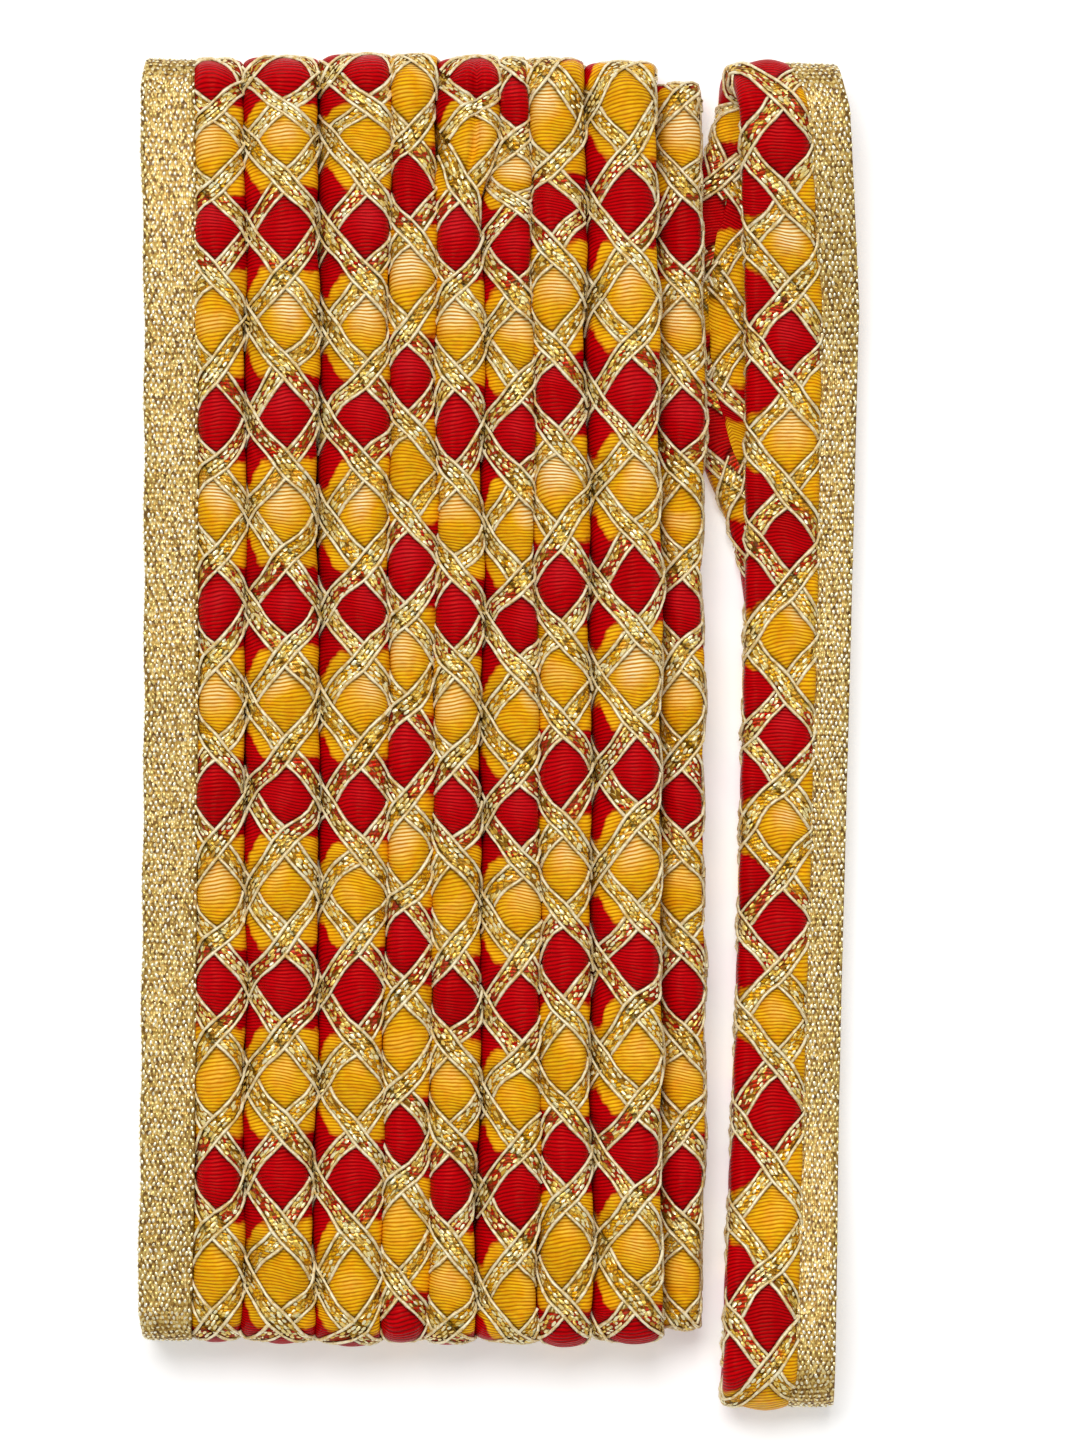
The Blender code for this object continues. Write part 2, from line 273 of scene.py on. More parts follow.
def spans(turn, y):
    """The crown's place, and its distances to the left valley and to the slit at the right one."""
    i = turn["index"]
    axis = curve_through([turn["axis_foot"], turn["axis_middle"], turn["axis_head"]], y)
    if i == SLACK_TURN:
        axis = axis + slack_swing(y)
    right = valley(i + 1, y) - opening(i + 1, y) - axis
    return axis, np.maximum(axis - valley(i, y), LEAST_LEFT), np.maximum(right, LEAST_RIGHT)


def rolls(turn, y):
    """The flat run and the radius on each side, and how far the section reaches each way."""
    axis, left, right = spans(turn, y)
    left_run, right_run = LEFT_FLAT * left, RIGHT_FLAT * right
    left_radius = (left - left_run) / math.sin(LEFT_TURNED)
    right_radius = right - right_run
    lowest = -(left_run + left_radius * LEFT_TURNED) - LEFT_SKIRT
    highest = right_run + right_radius * math.pi / 2 + SKIRTS[turn["index"]]
    return axis, left_run, left_radius, right_run, right_radius, lowest, highest


# %% [markdown]
# ## Swell and unevenness
#
# The padding pushes the cloth up in each diamond, while the bands hold it down along their lines. The net
# was sewn by hand, so no two diamonds are quite the same.

# %% The swell of the cloth and the handwork of the net
HELD_HALF = 0.085  # in cells: so far from a band's middle line the cloth is held down
SWELL_POWER = 0.8
ASIDE_WAVES = ((0.22, 17, 3.1, 2.3), (0.15, 39, -1.9, 5.1))  # height, waves round the loop, mm, phase
AHEAD_WAVES = ((0.026, 11, 3.7, 1.9), (0.018, 29, 2.0, 4.4))


def pillow(across, cell):
    """The swell of the cloth in a diamond: the product of two sine humps, one between each pair of
    neighbouring bands, so that it is 0 under the bands and 1 in the middle."""
    hump = 1.0
    for slant in (1, -1):
        from_band = abs((cell + slant * across) % 1.0 - 0.5)
        share = np.clip((from_band - HELD_HALF) / (0.5 - HELD_HALF), 0, 1)
        hump = hump * np.sin(math.pi / 2 * share) ** SWELL_POWER
    return hump


def uneven(seed, across, cell):
    """Handwork is never quite even: sine waves, a whole number of which fit a turn's loop, move a
    point of the net a little across and along the trim."""
    turned = 2 * math.pi * cell / TURN_CELLS
    aside, ahead = (
        sum(size * np.sin(count * turned + across / reach + phase * seed)
            for size, count, reach, phase in table)
        for table in (ASIDE_WAVES, AHEAD_WAVES)
    )
    return across + aside, cell + ahead


# %% [markdown]
# ## The surface of a wound turn
#
# The net is drawn in distances across the trim and in cells along it. This function takes both to a place
# in the bundle, so cloth, cords and stitches all lie on the same surface.

# %% The surface of a wound turn
SWELL_LOST = 0.35  # the share of the swell that is lost where the turn folds over
DENT_DEPTH, DENT_LENGTHS = 0.10, (9.1, 3.3, 31)  # along the trim, across it, and how far it slants
CREASE_DEPTH, CREASE_HALF, CREASE_FROM, CREASE_LENGTH = 1.9, 0.6, 2, 8  # of the slack turn


def place_and_normal(x, on, height, beside=0.0, share=1.0):
    """A point at a height over a line and the surface normal there. The normal has a part beside the
    line, and a share of the line's outward direction."""
    y, z, out_y, out_z = on
    parts = np.broadcast_arrays(beside, out_y * share, out_z * share, x)
    return np.stack([x, y + out_y * height, z + out_z * height], -1), np.stack(parts[:3], -1)


def turn_surface(turn, across, cell, lift=0.0):
    """A point of a turn from its distance across the trim and its cell number, with the surface
    normal. Straight runs give place = distance, an arc gives radius times sine and 1 - cosine."""
    line = turn["line"]
    swell = PUFF * pillow(across / CELL_WIDTH, cell)
    across, cell = uneven(turn["index"], across, cell)
    cell = line["cell"][0] + (cell - line["cell"][0]) % TURN_CELLS
    length = np.interp(cell, line["cell"], line["length"])
    on = on_line(line, length)
    y, _, out_y, _ = on
    axis, left_run, left_radius, right_run, right_radius, _, _ = rolls(turn, y)
    is_left = across < 0
    side = np.where(is_left, -1.0, 1.0)
    run = np.where(is_left, left_run, right_run)
    radius = np.where(is_left, left_radius, right_radius)
    most = np.where(is_left, LEFT_TURNED, math.pi / 2)
    beyond = np.maximum(abs(across) - run, 0)
    angle = np.minimum(beyond / radius, most)
    rest = np.maximum(beyond - radius * most, 0)
    x = np.minimum(abs(across), run) + radius * np.sin(angle) + rest * np.cos(angle)
    depth = radius * (1 - np.cos(angle)) * (1 - FOLD_FLATNESS * out_y**2)
    depth = depth + rest * np.sin(angle) * (1 - SKIRT_FLATNESS * out_y**2)
    if turn["index"] == SLACK_TURN:
        crease = np.exp(-((across / CREASE_HALF) ** 2)) * (1 - out_y**2)
        swell = swell - CREASE_DEPTH * crease * smooth((y - SLACK_FROM - CREASE_FROM) / CREASE_LENGTH)
    raised = lift + swell * np.cos(angle) * (1 - SWELL_LOST * out_y**2)
    along, beside, slant = DENT_LENGTHS
    dents = np.sin(length / along + turn["index"]) * np.sin(across / beside + length / slant)
    raised = raised + DENT_DEPTH * dents
    x = axis + side * (x + raised * np.sin(angle))
    height = raised * np.cos(angle) - depth
    return place_and_normal(x, on, height, side * np.sin(angle), np.cos(angle))


# %% [markdown]
# ## Meshes from whole arrays
#
# A grid of points becomes a mesh with one call. The row that closes a loop is shared, so the seam is
# sewn, while its map runs on, so a pattern doesn't jump there.

# %% A grid, and a piece from arrays
def grid_faces(rows, columns, closed=False, wrapped=False):
    """Quads between neighbouring rows and columns. The last row meets the first if closed, and the
    last column meets the first if wrapped."""
    j = np.arange(rows if closed else rows - 1)[:, None]
    i = np.arange(columns if wrapped else columns - 1)[None]
    after, beside = (j + 1) % rows, (i + 1) % columns
    corners = [j * columns + i, j * columns + beside, after * columns + beside, after * columns + i]
    return np.stack(corners, -1).reshape(-1, 4)


def make_piece(name, points, faces, material, maps=(), shades=None):
    """One smooth mesh object from arrays of points in mm and faces, with its maps."""
    points = points.reshape(-1, 3).copy()
    points[:, 2] = np.maximum(points[:, 2], 0.0)
    mesh = bpy.data.meshes.new(name)
    mesh.vertices.add(len(points))
    mesh.vertices.foreach_set("co", (points * MM).ravel())
    mesh.loops.add(faces.size)
    mesh.loops.foreach_set("vertex_index", faces.ravel().astype(np.int32))
    mesh.polygons.add(len(faces))
    mesh.polygons.foreach_set("loop_start", np.arange(len(faces), dtype=np.int32) * faces.shape[1])
    mesh.update(calc_edges=True)
    for layer, values, corners in maps:
        uv = mesh.uv_layers.new(name=layer)
        uv.uv.foreach_set("vector", values.reshape(-1, 2)[corners.ravel()].astype(np.float32).ravel())
    if shades is not None:
        shade = mesh.attributes.new("shade", "FLOAT", "POINT")
        shade.data.foreach_set("value", shades.astype(np.float32))
    mesh.shade_smooth()
    mesh.materials.append(material)
    piece = bpy.data.objects.new(name, mesh)
    bpy.context.scene.collection.objects.link(piece)
    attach(piece, "root")
    return piece


# %% [markdown]
# ## Cords and grains
#
# A cord is a tube of four sides round a line, and a stitch or a float is a dome of six triangles. Both
# are small enough in the picture to look round when they are shaded smooth.

# %% Helpers for the shapes that repeat
CORD_SIDES = 4
CORD_UNEVEN = (0.78, 1.18)  # least and most of the radius
GRAIN_SIDES = 6
GRAIN_POINTS = GRAIN_SIDES + 1
GRAIN_ANGLES = np.linspace(0, 2 * math.pi, GRAIN_SIDES + 1)[:-1]


def tube(centres, normals, radius):
    """Rings of four points round lines of points, as arrays of lines by points: two beside the line,
    one above and one below, across the line's own direction."""
    along = unit(np.gradient(centres, axis=1))
    beside = unit(np.cross(along, normals))
    above = np.cross(beside, along)
    ways = np.stack([beside, above, -beside, -above], 2)
    lines, count = centres.shape[:2]
    rings = centres[:, :, None] + radius * rng.uniform(*CORD_UNEVEN, (lines, count, 1, 1)) * ways
    k, j, i = np.meshgrid(np.arange(lines), np.arange(count - 1), np.arange(CORD_SIDES), indexing="ij")
    start, beyond = (k * count + j) * CORD_SIDES, (i + 1) % CORD_SIDES
    corners = [start + i, start + CORD_SIDES + i, start + CORD_SIDES + beyond, start + beyond]
    return rings.reshape(-1, 3), np.stack(corners, -1).reshape(-1, 4)


def grains(centres, along, normal, length, width, height):
    """The points of small domes, one dome for each centre: six round an ellipse and one on top."""
    beside = unit(np.cross(normal, along))
    along = np.cross(beside, normal)
    ring = centres[:, None] + (
        along[:, None] * (np.cos(GRAIN_ANGLES)[None, :, None] * length[:, None, None] / 2)
        + beside[:, None] * (np.sin(GRAIN_ANGLES)[None, :, None] * width[:, None, None] / 2)
    )
    top = centres + normal * height[:, None]
    return np.concatenate([ring, top[:, None]], 1).reshape(-1, 3)


def grain_piece(name, points, shades, material):
    """A piece of domes, from their points and one shade for each of them."""
    start = np.arange(len(shades))[:, None] * GRAIN_POINTS
    i = np.arange(GRAIN_SIDES)[None]
    top = np.broadcast_to(start + GRAIN_SIDES, (len(shades), GRAIN_SIDES))
    faces = np.stack([start + i, start + (i + 1) % GRAIN_SIDES, top], -1).reshape(-1, 3)
    return make_piece(name, points, faces, material, shades=np.repeat(shades, GRAIN_POINTS))


def drawn(count, *ranges):
    """As many random numbers as asked for, from each range of least and most."""
    return [rng.uniform(*limits, count) for limits in ranges]


def tilted(normals, spread):
    """Normals that are each turned a little, by chance."""
    return unit(normals + rng.normal(0, spread, normals.shape))


# %% [markdown]
# ## Ribbed dyed cloth
#
# The padding is covered with ribbed cotton satin: a thick weft under a fine shiny warp, so it shows cords
# that run across the trim about half a millimetre apart and catch the light on one side. It is tie-dyed,
# so the amber patches have soft uneven edges and narrow towards the left. Colour and ribs are read from
# two maps: `weave`, in millimetres across and along, and `lattice`, in cells.

# %% Colours and nodes
def colour(code):
    """An sRGB hex value as linear red, green, blue and alpha."""
    parts = [int(code[k:k + 2], 16) / 255 for k in (1, 3, 5)]
    linear = [c / 12.92 if c <= 0.04045 else ((c + 0.055) / 1.055) ** 2.4 for c in parts]
    return (*linear, 1.0)


def fill(tree, socket, value):
    """Links a node's first shown output, or a given output, to an input, or sets the input's value."""
    if isinstance(value, bpy.types.Node):
        value = next(s for s in value.outputs if s.enabled)
    if isinstance(value, bpy.types.NodeSocket):
        tree.links.new(value, socket)
    else:
        socket.default_value = value


def node(tree, kind, *values, **named):
    """Adds a shader node. The values fill the inputs that it shows, in their order, and the named ones
    are its settings or its inputs."""
    made = tree.nodes.new("ShaderNode" + kind)
    for name, value in named.items():
        if name not in made.inputs:
            setattr(made, name, value)
    for socket, value in zip([s for s in made.inputs if s.enabled], values):
        fill(tree, socket, value)
    for name in named:
        if name in made.inputs:
            fill(tree, made.inputs[name], named[name])
    return made


def fill_ramp(ramp, first, *between, last):
    """Sets a colour ramp's two ends, and adds the stops between them, each a place and a colour."""
    stops = ramp.color_ramp.elements
    stops[0].color, stops[1].color = colour(first), colour(last)
    for at, code in between:
        stops.new(at).color = colour(code)


def new_material(name):
    """A material and its tree of nodes."""
    material = bpy.data.materials.new(name)
    material.use_nodes = True
    return material, material.node_tree


def shade(tree, **inputs):
    """Links or sets inputs of a material's shader."""
    shader = tree.nodes["Principled BSDF"]
    for name, value in inputs.items():
        fill(tree, shader.inputs[name.replace("_", " ")], value)


# %% [markdown]
# ## The bands' ground
#
# Seen close up, a band is a crowd of short gilt stitches with brown between them, and the cloth shows
# where they are worn or sparse. Only the brightest stitches are modelled. The rest are painted on the
# cloth between the edge cords, and so is the shadow beside each cord.

# %% Bands painted on the cloth
STITCH_LENGTH, STITCH_WIDTH = 1.0, 0.46  # of the painted stitches
BAND_SLANT = math.hypot(CELL_WIDTH, CELL_LENGTH)  # the length of a band across one cell
BAND_EDGE = BAND_HALF * BAND_SLANT / (CELL_WIDTH * CELL_LENGTH)  # in cells
BARE_FROM = {1: 1.10, -1: 1.20}  # the lower bands show more of the cloth
SOFT_EDGE = 0.004  # in cells


def nipped_edge(tree, cells):
    """Where a band's edge cord lies, in cells from the middle between bands: the band is narrower
    between two crossings by the square of a sine, just as the cords are."""
    turned = node(tree, "Math", cells, 2 * math.pi, operation="MULTIPLY")
    wave = node(tree, "Math", turned, operation="SINE")
    square = node(tree, "Math", wave, wave, operation="MULTIPLY")
    return node(tree, "Math", square, BAND_EDGE * BAND_NIP, 0.5 - BAND_EDGE, operation="MULTIPLY_ADD")


def stitched_ground(tree, lattice, slant, cloth):
    """Two dot products give the distance along and beside a band; a Voronoi pattern stretched along
    it gives each stitch its own shade, brown lines between them, and gaps that show the cloth."""
    middle = CELL_WIDTH * CELL_LENGTH / BAND_SLANT / STITCH_WIDTH
    along = node(tree, "VectorMath", lattice, (slant * CELL_WIDTH**2 / BAND_SLANT / STITCH_LENGTH,
                                               CELL_LENGTH**2 / BAND_SLANT / STITCH_LENGTH, 0.0),
                 operation="DOT_PRODUCT")
    beside = node(tree, "VectorMath", lattice, (-slant * middle, middle, 0.0), operation="DOT_PRODUCT")
    place = node(tree, "CombineXYZ", along, beside, 3.0 * slant)
    stitch = node(tree, "TexVoronoi", place, Scale=1.0, Randomness=0.75)
    between = node(tree, "TexVoronoi", place, Scale=1.0, Randomness=0.75, feature="DISTANCE_TO_EDGE")
    own = node(tree, "SeparateXYZ", stitch.outputs["Color"])
    gold = node(tree, "ValToRGB", own)
    fill_ramp(gold, "#6A4410", (0.26, "#BC8624"), (0.62, "#F4CC56"), last="#FFF6B8")
    patchy = node(tree, "TexNoise", place, Scale=0.16, Detail=1.0)
    cover = node(tree, "Math", patchy, 1.4, own.outputs[1], operation="MULTIPLY_ADD")
    bare = BARE_FROM[slant]
    seen = node(tree, "MapRange", cover, bare, bare + 0.02, 1.0, 0.06)
    stitched = node(tree, "Mix", seen, cloth, gold, data_type="RGBA")
    joined = node(tree, "MapRange", between, 0.03, 0.11, 0.66, 0.0)
    return node(tree, "Mix", joined, stitched, colour("#5E3A10"), data_type="RGBA")


# %% [markdown]
# The painted ground ends at the edge cords. Beside a cord a painted shadow darkens the cloth, and a
# painted shade makes it a little darker where it dips towards one.

# %% The edges of a painted band
def band_veil(tree, lattice, edge, slant, cloth):
    """Paints one family of bands over the cloth, with painted shade beside its cords, and gives the
    painted colour and the covered part.
    """
    ground = stitched_ground(tree, lattice, slant, cloth)
    cells = node(tree, "SeparateXYZ", lattice)
    slanted = node(tree, "Math", cells.outputs[1], cells.outputs[0],
                   operation="SUBTRACT" if slant > 0 else "ADD")
    folded = node(tree, "Math", slanted, 0.5, operation="PINGPONG")
    from_cord = node(tree, "Math", folded, edge, operation="SUBTRACT")
    covered = node(tree, "MapRange", from_cord, -SOFT_EDGE, SOFT_EDGE)
    painted = node(tree, "Mix", covered, cloth, ground, data_type="RGBA")
    # Painted shade: the cloth is darker right beside a cord, and darker where it dips towards a band.
    near = node(tree, "Math", from_cord, operation="ABSOLUTE")
    dark = node(tree, "MapRange", near, 0.026, 0.046, 0.42, 1.0)
    dip_shade = node(tree, "MapRange", from_cord, -0.11, -0.02, 1.0, 0.68)
    inner = node(tree, "Math", dip_shade, covered, operation="MAXIMUM")
    both = node(tree, "Math", dark, inner, operation="MULTIPLY")
    return node(tree, "VectorMath", painted, both, operation="SCALE"), covered


# %% [markdown]
# ## The dye, the painted shade and the painted highlights
#
# The satin was tied and dyed, so its two colours meet in a soft uneven edge. Highlights are painted
# pale on the ribs of the upper half of each swelling, more in some than in others, and most on the amber.

# %% Ribs
RIB_PITCH = 0.57
RIB_BOW = 0.014  # how far a rib bows for each square millimetre from the middle


def ribs(tree, weave, place):
    """The size of the sine of the distance along the trim: a row of round ribs with sharp valleys,
    which bows and drifts a little across it."""
    drift = node(tree, "TexNoise", weave, Scale=0.22, Detail=2.0)
    bow = node(tree, "Math", place, place, operation="MULTIPLY")
    bowed = node(tree, "Math", bow, RIB_BOW, place.outputs[1], operation="MULTIPLY_ADD")
    bent = node(tree, "Math", drift, 0.7, bowed, operation="MULTIPLY_ADD")
    turned = node(tree, "Math", bent, math.pi / RIB_PITCH, operation="MULTIPLY")
    wave = node(tree, "Math", turned, operation="SINE")
    return node(tree, "Math", wave, operation="ABSOLUTE")


# %% [markdown]
# The dye didn't stop at a sharp line, so the edge between the colours wanders by noise. The amber patches
# also change in width across the trim.

# %% Where the dyes meet
DYE_WANDER = 0.16  # in cells


def amber_share(tree, cells, dyeing, edge_noise, dye):
    """1 where the cloth is amber: the distance from the middle of a crimson diamond, shaken by noise,
    against a limit that changes across the trim."""
    shaken = node(tree, "Math", edge_noise, DYE_WANDER, dyeing.outputs[1], operation="MULTIPLY_ADD")
    centred = node(tree, "Math", shaken, DYE_WANDER / 2, operation="SUBTRACT")
    far = node(tree, "Math", centred, 1.0, operation="PINGPONG")
    (left_at, left_from), (right_at, right_from) = dye
    limit = node(tree, "MapRange", cells, left_at, right_at, left_from, right_from,
                 interpolation_type="SMOOTHSTEP")
    over = node(tree, "Math", far, limit, operation="SUBTRACT")
    return node(tree, "MapRange", over, -0.02, 0.035)


# %% [markdown]
# The painted highlights are strongest on the upper part of the bundle, nearer the light. They are worked
# out once, and then divided between the two colours by the distance from the middle of a crimson diamond.

# %% Painted highlights
HIGHLIGHT_HEIGHT = 0.15  # in cells: the painted highlight lies so far above a diamond's middle
HIGHLIGHT_ON_AMBER, HIGHLIGHT_ON_CRIMSON = (0.68, 0.98), (0.30, 0.02)  # no painted highlight and all of it, in cells from a crimson middle


def painted_highlight_shares(tree, cells, dyeing, highlight_and_tone_noise):
    """Gives in turn how strongly a highlight is painted on the amber and on the crimson: only near the
    middle of a swelling, only in the patches of a noise, and less towards the foot, away from the light."""
    aside = node(tree, "Math", cells, operation="ABSOLUTE")
    inside = node(tree, "MapRange", aside, 0.04, 0.26, 1.0, 0.0, interpolation_type="SMOOTHSTEP")
    raised = node(tree, "Math", dyeing.outputs[1], HIGHLIGHT_HEIGHT, operation="SUBTRACT")
    phase = node(tree, "Math", raised, 1.0, operation="PINGPONG")
    # Painted highlight: pale patches by a noise, near the middle of each swelling's upper half.
    highlight_patches = node(tree, "MapRange", highlight_and_tone_noise, 0.43, 0.56, 0.0, 1.0)
    room = node(tree, "SeparateXYZ", node(tree, "TexCoord").outputs["Object"])
    upper_half = node(tree, "MapRange", room.outputs[1], -0.045, 0.015, 0.2, 1.0)
    painted_highlight = node(tree, "Math", inside, highlight_patches, operation="MULTIPLY")
    painted_highlight = node(tree, "Math", painted_highlight, upper_half, operation="MULTIPLY")
    for low, high in (HIGHLIGHT_ON_AMBER, HIGHLIGHT_ON_CRIMSON):
        on = node(tree, "MapRange", phase, low, high, interpolation_type="SMOOTHSTEP")
        yield node(tree, "Math", painted_highlight, on, operation="MULTIPLY")


# %% [markdown]
# Between its ribs the satin lies in shade, so each dye has a darker painted shade there and a clear tone
# on the ribs. Streaks along the threads and large faded patches keep it from looking printed.

# %% The colours of the satin
def dyed_satin(tree, cells, dyeing, weave, rib, streaks, dye):
    """The colour of the satin: each dye has a painted shade between its ribs and a clear tone on them, and
    painted highlights.
    """
    edge_noise = node(tree, "TexNoise", weave, Scale=0.6, Detail=4.0)
    amber = amber_share(tree, cells, dyeing, edge_noise, dye)
    highlight_and_tone_noise = node(tree, "TexNoise", weave, Scale=0.07, Detail=1.0)
    amber_painted_highlight, crimson_painted_highlight = painted_highlight_shares(tree, cells, dyeing, highlight_and_tone_noise)
    # Painted highlights: a weak pink one on the crimson, a pale cream one on the amber's rib crests.
    crimson_painted_highlight = node(tree, "Math", crimson_painted_highlight, 0.12, operation="MULTIPLY")
    crimson_top = node(tree, "Mix", crimson_painted_highlight, colour("#CC000B"), colour("#F04858"),
                       data_type="RGBA")
    # Painted shade: the valleys between the ribs get a darker tone of each dye.
    crimson_rib = node(tree, "Mix", rib, colour("#740004"), crimson_top, data_type="RGBA")
    mottled = node(tree, "MapRange", edge_noise, 0.40, 0.66, 0.0, 0.55)
    amber_top = node(tree, "Mix", mottled, colour("#FFC61A"), colour("#FA9E06"), data_type="RGBA")
    crest = node(tree, "Math", rib, 1.7, operation="POWER")
    amber_painted_highlight = node(tree, "Math", amber_painted_highlight, crest, operation="MULTIPLY")
    amber_top = node(tree, "Mix", amber_painted_highlight, amber_top, colour("#FFF4C0"), data_type="RGBA")
    amber_valley_shade = node(tree, "Mix", amber_painted_highlight, colour("#BA6000"), colour("#C4820E"), data_type="RGBA")
    amber_rib = node(tree, "Mix", rib, amber_valley_shade, amber_top, data_type="RGBA")
    dyed = node(tree, "Mix", amber, crimson_rib, amber_rib, data_type="RGBA")
    faded = node(tree, "MapRange", streaks, 0.3, 0.75, 0.90, 1.20)
    dulled = node(tree, "MapRange", highlight_and_tone_noise, 0.36, 0.48, 0.86, 1.0)
    faded = node(tree, "Math", faded, dulled, operation="MULTIPLY")
    return node(tree, "VectorMath", dyed, faded, operation="SCALE")


# %% [markdown]
# The trim has one such cloth all along, but the loose turn shows the other end of its dye pattern, so it
# has its own edge between the colours. Under the bands the surface is partly metal.

# %% Ribbed satin
VEIL_METAL = 0.22


def ribbed_cloth(name, dye):
    """Crimson and amber ribbed satin under the bands' ground. The dye gives, at the left and the right
    of the trim, how far in cells from the middle of a crimson diamond the amber starts."""
    material, tree = new_material(name)
    weave, lattice, dye_map = (node(tree, "UVMap", uv_map=name) for name in ("weave", "lattice", "dye"))
    place, cells, dyeing = (node(tree, "SeparateXYZ", uv) for uv in (weave, lattice, dye_map))
    threads = node(tree, "VectorMath", weave, (0.7, 3.2, 1.0), operation="MULTIPLY")
    streaks = node(tree, "TexNoise", threads, Scale=1.0, Detail=3.0)
    rib = ribs(tree, weave, place)
    cloth = dyed_satin(tree, cells, dyeing, weave, rib, streaks, dye)
    edge = nipped_edge(tree, cells)
    painted, lower = band_veil(tree, lattice, edge, 1, cloth)
    painted, upper = band_veil(tree, lattice, edge, -1, painted)
    veil = node(tree, "Math", lower, upper, operation="MAXIMUM")
    metal = node(tree, "Math", veil, VEIL_METAL, operation="MULTIPLY")
    bump = node(tree, "Bump", Strength=0.6, Distance=0.00015, Height=rib)
    fuzz = node(tree, "Bump", Strength=0.35, Distance=0.0001, Height=streaks, Normal=bump)
    dents = node(tree, "TexNoise", weave, Scale=0.34, Detail=1.0)
    dented = node(tree, "Bump", Strength=0.5, Distance=0.0009, Height=dents, Normal=fuzz)
    shade(tree, Base_Color=painted, Metallic=metal, Normal=dented, Roughness=0.34,
          Specular_IOR_Level=0.07, Specular_Tint=colour("#FFB890"))
    return material


CLOTH = ribbed_cloth("ribbed_dyed_satin", ((-0.52, 0.70), (-0.26, 0.43)))
LOOSE_CLOTH = ribbed_cloth("ribbed_dyed_satin_loose", ((-0.55, 0.74), (0.50, 0.20)))
print("Ribs every", RIB_PITCH, "mm")

# %% [markdown]
# ## The cloth of the wound turns
#
# Each turn gets its own closed loop of cloth, so that the creases between turns are real gaps in shadow.

# %% Cloth of the turns
CLOTH_COLUMNS = 36
FRONT_STEP, BACK_STEP = 0.8, 1.6  # between two rows of points


def rows_along(line):
    """Distances along a line: close together on the front and the folds, wider on the back."""
    length = line["length"]
    back_from = length[np.argmax(line["z"] <= line["z"].min() + 0.01)]
    front = np.linspace(0, back_from, int(back_from / FRONT_STEP), endpoint=False)
    back = np.linspace(back_from, length[-1], int((length[-1] - back_from) / BACK_STEP) + 1)
    return np.concatenate([front, back])


def cloth_piece(name, surface, line, rows, across, material, weave_from, dyed=np.asarray, wrapped=False):
    """A closed grid of cloth with its three maps: rows along a loop, and columns across the trim or,
    if wrapped, all round it. The dye's map has its own count of cells."""
    columns = across.shape[1]
    cells = np.repeat(np.interp(rows, line["length"], line["cell"])[:, None], columns, 1)
    points, _ = surface(across, cells)
    along = np.repeat(rows[:, None], columns, 1) + weave_from
    maps = [(layer, np.stack(pair, -1), grid_faces(len(rows), columns)) for layer, pair in (
        ("weave", (across, along)), ("lattice", (across / CELL_WIDTH, cells)),
        ("dye", (across / CELL_WIDTH, dyed(cells))))]
    points = points[:-1, :-1] if wrapped else points[:-1]
    faces = grid_faces(*points.shape[:2], closed=True, wrapped=wrapped)
    return make_piece(name, points, faces, material, maps)


def turn_cloth(turn):
    """The cloth of one turn, from its left skirt to its right."""
    rows = rows_along(turn["line"])
    *_, lowest, highest = rolls(turn, np.interp(rows, turn["line"]["length"], turn["line"]["y"]))
    share = np.linspace(0, 1, CLOTH_COLUMNS)[None]
    across = lowest[:, None] + share * (highest - lowest)[:, None]
    piece = cloth_piece(f"turn_{turn['index'] + 1}_cloth", lambda a, c: turn_surface(turn, a, c),
                        turn["line"], rows, across, CLOTH, 500 * turn["index"])
    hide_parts("wound_trim")
    return piece


cloths = [turn_cloth(turn) for turn in TURNS]
print("Cloth of the turns:", sum(len(p.data.polygons) for p in cloths), "quads")

# %% [markdown]
# ## Gilt thread and flat metal strip
#
# Gota work is woven with flattened metal-coated strip. The edge cords of the bands are pale gilt thread,
# and between them small stitches of strip glitter, each at its own angle. The strip is a thin metal coat
# on a yellow film, so the shader is partly metallic, and each stitch has its own shade.

# %% Gold finishes
def gilt_thread():
    """Pale gilt thread, wound tightly: fine slanting turns give it a soft sparkle."""
    material, tree = new_material("pale_gilt_thread")
    place = node(tree, "TexCoord").outputs["Object"]
    noise = node(tree, "TexNoise", place, Scale=900.0, Detail=3.0, Roughness=0.7)
    tone = node(tree, "MapRange", noise, 0.36, 0.58)
    mixed = node(tree, "Mix", tone, colour("#DDB866"), colour("#FFF4CE"), data_type="RGBA")
    bump = node(tree, "Bump", Strength=0.5, Distance=0.0001, Height=noise)
    shade(tree, Base_Color=mixed, Normal=bump, Metallic=0.12, Roughness=0.4)
    return material


def metal_strip(name, dark, middle, pale, metallic):
    """Flat gilt strip in short stitches, whose shade comes from each stitch's own value."""
    material, tree = new_material(name)
    ramp = node(tree, "ValToRGB", node(tree, "Attribute", attribute_name="shade").outputs["Fac"])
    fill_ramp(ramp, dark, (0.45, middle), last=pale)
    shade(tree, Base_Color=ramp, Metallic=metallic, Roughness=0.30)
    return material


GILT = gilt_thread()
STRIP = metal_strip("gilt_strip_stitches", "#C48C2C", "#FAD664", "#FFF9CC", 0.35)
LAME = metal_strip("woven_gold_lame", "#B89440", "#F2DA88", "#FFFADC", 0.52)
print("Finishes:", [m.name for m in (GILT, STRIP, LAME)])

# %% [markdown]
# ## The net of bands
#
# A band is straight on the flat trim: its cell number changes by one while it crosses one cell's width.
# So a cord is a line of constant slope in cells, and the surface function bends it over the padding.
# Which of two bands lies over the other varies from crossing to crossing, as in the handmade net.

# %% Where bands cross
CROSSINGS = 11  # the most that a band can have, across the trim
CROSSING_LIFT, CROSSING_DIP = 0.26, 0.75
LIFT_REACH = 1.7  # across the trim, over which an upper band rises
HIDDEN_HALF = 0.95  # across the trim, from a crossing to the edge of the upper band


